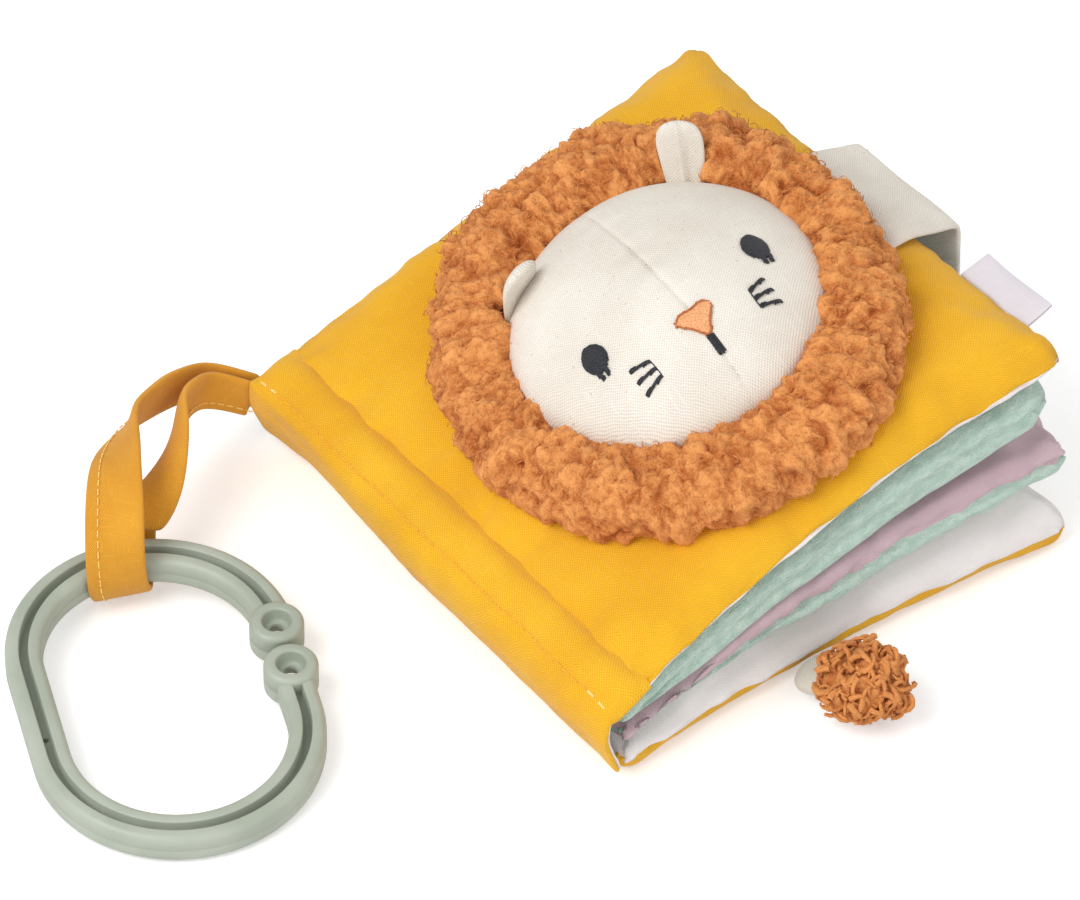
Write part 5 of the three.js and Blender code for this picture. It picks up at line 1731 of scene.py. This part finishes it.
# Link ring: one plastic moulding, a rounded bar with a groove sunk along its top, a fine
# mould line round its sides and an eyelet on each side of the split, dished round its hole.
RING_HALF_WIDTH = 0.0304
RING_STRAIGHT = 0.028
BAR_HALF = 0.0045
BAR_HALF_HEIGHT = 0.0040
GROOVE_HALF = 0.0011
GROOVE_DEPTH = 0.0046
EYELET_RADIUS = 0.0066
EYELET_HEIGHT = 0.0090
EYELET_PITCH = 0.0070
EYELET_DISH = 0.0033
EYELET_DISH_DEPTH = 0.0034
EYELET_BORE = 0.0016
EYELET_ROUND = 0.0014
EYELET_LIP = 0.0009
EYELET_LIP_ROUND = 0.0007
SPLIT_OFFSET = 0.0055
FIRST_STATION = 0.105
RING_ROUND = 0.0019
RING_LIP = 0.0004
MOULD_LINE = 0.00012
MOULD_LINE_HALF = 0.0002
GROOVE_BEVEL = 0.0005
VENT_AT = -0.006
VENT_RADIUS = 0.00075
VENT_DRILL = 0.02
BAR_LAP = 0.0045
BAR_PLACE = Vector((-0.1265, 0.050, 0.009431))
RING_TURN = math.radians(-20.6)
RING_TILT = math.radians(3.4)
RING_LONG = RING_STRAIGHT / 2 + RING_HALF_WIDTH
EYELET_STEPS = 56


def rounded(x, y, radius, start, end, steps=5):
    return [(x + radius * math.cos(a), y + radius * math.sin(a)) for a in
            [math.radians(start + (end - start) * k / steps) for k in range(steps + 1)]]


def bar_section():
    w, h, r, g, lip = BAR_HALF, BAR_HALF_HEIGHT, RING_ROUND, GROOVE_HALF, RING_LIP
    right = rounded(w - r, -h + r, r, -90, 0)
    right += [(w, -MOULD_LINE_HALF), (w - MOULD_LINE, 0), (w, MOULD_LINE_HALF)]
    right += rounded(w - r, h - r, r, 0, 90)
    right += rounded(g + lip, h - lip, lip, 90, 180, 4)
    right += [(g, h - GROOVE_DEPTH + GROOVE_BEVEL), (g - GROOVE_BEVEL, h - GROOVE_DEPTH)]
    return right + [(-x, z) for x, z in reversed(right)]


def bar_stations():
    stations = []
    for end in (1, -1):
        for i in range(49):
            angle = (
                FIRST_STATION + (math.pi - FIRST_STATION) * i / 48
            ) if end > 0 else math.pi * (1 + i / 48)
            y = end * RING_STRAIGHT / 2 + RING_HALF_WIDTH * math.sin(angle)
            stations.append((RING_HALF_WIDTH * math.cos(angle), y, angle))
        if end > 0:
            for k in range(1, 8):
                stations.append((-RING_HALF_WIDTH, RING_STRAIGHT / 2 - RING_STRAIGHT * k / 8, math.pi))
    stop = SPLIT_OFFSET - EYELET_PITCH - BAR_LAP
    for k in range(1, 5):
        y = -RING_STRAIGHT / 2 + (stop + RING_STRAIGHT / 2) * k / 4
        stations.append((RING_HALF_WIDTH, y, 2 * math.pi))
    return stations


def eyelet_profile():
    r, h, far, dish, bore = EYELET_ROUND, EYELET_HEIGHT / 2, EYELET_RADIUS, EYELET_DISH, EYELET_BORE
    lip, lip_round = EYELET_LIP, EYELET_LIP_ROUND
    lift = h - BAR_HALF_HEIGHT
    floor_z = h - EYELET_DISH_DEPTH
    outline = rounded(far - r, -h + r, r, -90, 0)
    outline += [(far, -0.0006), (far - 0.0002, -0.0004), (far, -0.0002)]
    outline += rounded(far - r, h - r, r, 0, 90)
    outline += rounded(dish + lip, h - lip_round, lip_round, 90, 180, 4)
    outline += [(dish, h - 0.0016), (dish - 0.0003, floor_z + 0.0004), (dish - 0.0008, floor_z)]
    outline += [(bore + 0.0002, floor_z), (bore, floor_z - 0.0003), (bore, floor_z - 0.0009)]
    outline += [(dish, floor_z - 0.0014), (dish + lip, -h + 0.0006), (dish + 0.0012, -h)]
    return [(x, z + lift) for x, z in outline]


def ring_frame():
    lean = Matrix.Rotation(RING_TILT, 4, "X")
    turn = Matrix.Rotation(RING_TURN, 4, "Z")
    return Matrix.Translation(BAR_PLACE) @ turn @ lean @ Matrix.Translation((0, -RING_LONG, 0))


def sage_material():
    material, tree, shader = plain_material("sage_plastic", paint(178, 186, 171), 0.42)
    broad = cloudy(tree, own_place(tree), 60, 3)
    grain = cloudy(tree, own_place(tree), 5200, 2)
    colour = blended(tree, between(tree, broad, 0.3, 0.7), paint(158, 166, 151), paint(171, 178, 164))
    tree.links.new(colour, shader.inputs["Base Color"])
    tree.links.new(between(tree, broad, 0.3, 0.7, 0.38, 0.48), shader.inputs["Roughness"])
    set_inputs(shader, Specular_IOR_Level=0.5)
    bumped(tree, shader, grain, 0.12, 0.0001)
    return material


SAGE_PLASTIC = sage_material()


def solid_from(name, rows, closed):
    count, sides = len(rows), len(rows[0])
    faces = tube_faces(count, sides, closed)
    if not closed:
        faces.append(tuple(range(sides))[::-1])
        faces.append(tuple((count - 1) * sides + k for k in range(sides)))
    made = mesh_object(name, [p for row in rows for p in row], faces, [SAGE_PLASTIC])
    face_outwards(made)
    return made


section = bar_section()
bar_rows = []
for x, y, out in bar_stations():
    across, along = math.cos(out), math.sin(out)
    bar_rows.append([Vector((x + side * across, y + side * along, up)) for side, up in section])
ring = solid_from("link_ring_moulding", bar_rows, False)
drill = bmesh.new()
bmesh.ops.create_cone(
    drill, cap_ends=True, segments=24, radius1=VENT_RADIUS, radius2=VENT_RADIUS, depth=VENT_DRILL
)
bmesh.ops.translate(drill, verts=drill.verts, vec=(-RING_HALF_WIDTH, VENT_AT, 0))
drill_mesh = bpy.data.meshes.new("vent_drill")
drill.to_mesh(drill_mesh)
drill.free()
drill_object = placed("vent_drill", drill_mesh)
cut = ring.modifiers.new("vent", "BOOLEAN")
cut.operation = "DIFFERENCE"
cut.object = drill_object
bpy.context.view_layer.update()
settled(ring)
bpy.data.objects.remove(drill_object)
eyelets = []
for step in (EYELET_PITCH, -EYELET_PITCH):
    rows = []
    for k in range(EYELET_STEPS):
        angle = 2 * math.pi * k / EYELET_STEPS
        x, y = math.cos(angle), math.sin(angle)
        spots = [(RING_HALF_WIDTH + r * x, SPLIT_OFFSET + step + r * y, z) for r, z in eyelet_profile()]
        rows.append([Vector(spot) for spot in spots])
    eyelets.append(solid_from("eyelet", rows, True))
whole = bmesh.new()
for part in (ring, *eyelets):
    whole.from_mesh(part.data)
whole.transform(ring_frame())
whole.to_mesh(ring.data)
whole.free()
for eyelet in eyelets:
    bpy.data.objects.remove(eyelet)
ring.data.shade_smooth()
ring.data.set_sharp_from_angle(angle=math.radians(50))
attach(ring, "link_ring")
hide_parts("link_ring")


# Hanging loop: one flat strap of folded mustard cotton, topstitched along its open edge. It
# leaves the spine's head corner, goes under the ring's bar and comes back beside itself.
LOOP_WIDTH = 0.013
LOOP_ROOT_WIDTH = 0.0092
LOOP_THICKNESS = 0.0019
LOOP_SLANT = 0.003
LOOP_ROOT = Vector((-0.0703, 0.07585, 0.015))
LOOP_ROOT_SPREAD = 0.0032
LOOP_SWELL_OUT = 0.0065
LOOP_PEAK = 0.027
BEND_RADIUS = 0.007131
LOOP_VIA = [
    (0.16, 0.86, 0.4), (0.32, 0.57, 0.75), (0.5, -0.08, 1), (0.67, -0.38, 0.95), (0.85, -0.74, 0.85)
]
BAR_ALONG = Vector((math.cos(RING_TURN), math.sin(RING_TURN), 0))
BAR_ACROSS = Vector((-math.sin(RING_TURN), math.cos(RING_TURN), 0))
LOOP_COLUMNS = 8
LOOP_SMOOTHING = 14
LOOP_ROUTE_SMOOTHING = 40
LOOP_FOLD = 0.0011
LOOP_CUP = 0.0007
WRAP_STEPS = 16
LOOP_STITCH_AT = 0.17


def eased(value, low, high):
    return softened(share_of((value - low) / (high - low)))


def loop_rows():
    reach, back = LOOP_ROOT.x - BAR_PLACE.x, LOOP_ROOT.y - BAR_PLACE.y
    spots = [LOOP_ROOT]
    for out, side, up in LOOP_VIA:
        y = LOOP_ROOT.y + (LOOP_SWELL_OUT * side if side > 0 else back * side)
        spots.append(Vector((LOOP_ROOT.x - reach * out, y, LOOP_ROOT.z + (LOOP_PEAK - LOOP_ROOT.z) * up)))
    spots += [BAR_PLACE + Vector((0, 0, 1.4 * BEND_RADIUS)), BAR_PLACE]
    route = smooth_route(spots, 10)
    kept = len(route) - 9
    for turn in range(LOOP_ROUTE_SMOOTHING):
        between_ends = [(route[i - 1] + 2 * route[i] + route[i + 1]) / 4 for i in range(2, kept)]
        route = route[:2] + between_ends + route[kept:]
    clear = BEND_RADIUS + LOOP_THICKNESS / 2
    legs = {1: [], -1: []}
    last = len(route) - 1
    for i, middle in enumerate(route):
        t = i / last
        run = (route[min(i + 1, last)] - route[max(i - 1, 0)]).normalized()
        if i == last:
            run = Vector((0, 0, -1))
        across = Vector((0, 0, 1)).lerp(BAR_ALONG, eased(t, 0.25, 0.9))
        normal = run.cross(across).normalized()
        across = normal.cross(run).normalized()
        spread = LOOP_ROOT_SPREAD / 2 + (clear - LOOP_ROOT_SPREAD / 2) * eased(t, 0.1, 1)
        wide = LOOP_ROOT_WIDTH + (LOOP_WIDTH - LOOP_ROOT_WIDTH) * eased(t, 0.4, 0.85)
        aside = LOOP_SLANT * eased(t, 0.2, 0.8)
        for s in (1, -1):
            spot = middle + normal * (s * spread) - BAR_ALONG * (s * aside)
            fold = LOOP_FOLD * noise.noise(Vector((t * 9, s * 5, 1))) * math.sin(math.pi * min(t * 1.15, 1))
            row = []
            for k in range(LOOP_COLUMNS + 1):
                w = 2 * k / LOOP_COLUMNS - 1
                cup = LOOP_CUP * (w * w - 0.4) * math.sin(math.pi * t) * s
                twist = fold * w * (1 - t) * 1.5
                row.append(spot + across * (w * wide / 2) + normal * (fold + cup + twist))
            legs[s].append(row)
    wrap = []
    sign = 1 if (legs[1][-1][-1] - legs[1][-1][0]).dot(BAR_ALONG) > 0 else -1
    for i in range(1, WRAP_STEPS):
        angle = math.pi * i / WRAP_STEPS
        spot = BAR_PLACE - BAR_ACROSS * (clear * math.cos(angle)) - Vector((0, 0, clear * math.sin(angle)))
        spot += BAR_ALONG * (LOOP_SLANT * (2 * i / WRAP_STEPS - 1))
        ws = [2 * k / LOOP_COLUMNS - 1 for k in range(LOOP_COLUMNS + 1)]
        wrap.append([spot + BAR_ALONG * (sign * w * LOOP_WIDTH / 2) for w in ws])
    rows = legs[1] + wrap + legs[-1][::-1]
    for turn in range(LOOP_SMOOTHING):
        eased_rows = []
        for i in range(1, len(rows) - 1):
            trio = zip(rows[i - 1], rows[i], rows[i + 1])
            eased_rows.append([(a + 2 * b + c) / 4 for a, b, c in trio])
        rows = [rows[0]] + eased_rows + [rows[-1]]
    return rows[::2] + [rows[-1]] if len(rows) % 2 == 0 else rows[::2]


LOOP_COTTON = woven_material("loop_cotton", paint(234, 172, 56), paint(198, 130, 34), 3000, 0.6)
loop_points = loop_rows()
loop_maps = []
for loop_run in run_lengths([row[LOOP_COLUMNS // 2] for row in loop_points]):
    loop_maps.append([(LOOP_WIDTH * k / LOOP_COLUMNS, loop_run) for k in range(LOOP_COLUMNS + 1)])
loop = band_object("hanging_loop_strap", loop_points, LOOP_THICKNESS, LOOP_COTTON, loop_maps)
subdivide(loop)
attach(loop, "hanging_loop")
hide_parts("hanging_loop")
for side, lift in (("out", 1), ("in", -1)):
    route = []
    for i, row in enumerate(loop_points):
        before, after = loop_points[max(i - 1, 0)], loop_points[min(i + 1, len(loop_points) - 1)]
        run = after[LOOP_COLUMNS // 2] - before[LOOP_COLUMNS // 2]
        normal = run.cross(row[-1] - row[0]).normalized()
        route.append(row[0].lerp(row[-1], LOOP_STITCH_AT) + normal * (lift * LOOP_THICKNESS / 2))
    stitched_line(
        f"loop_stitches_{side}", route, "hanging_loop", PALE_THREAD,
        pitch=0.0026, length=0.0017, thread=0.00018,
    )
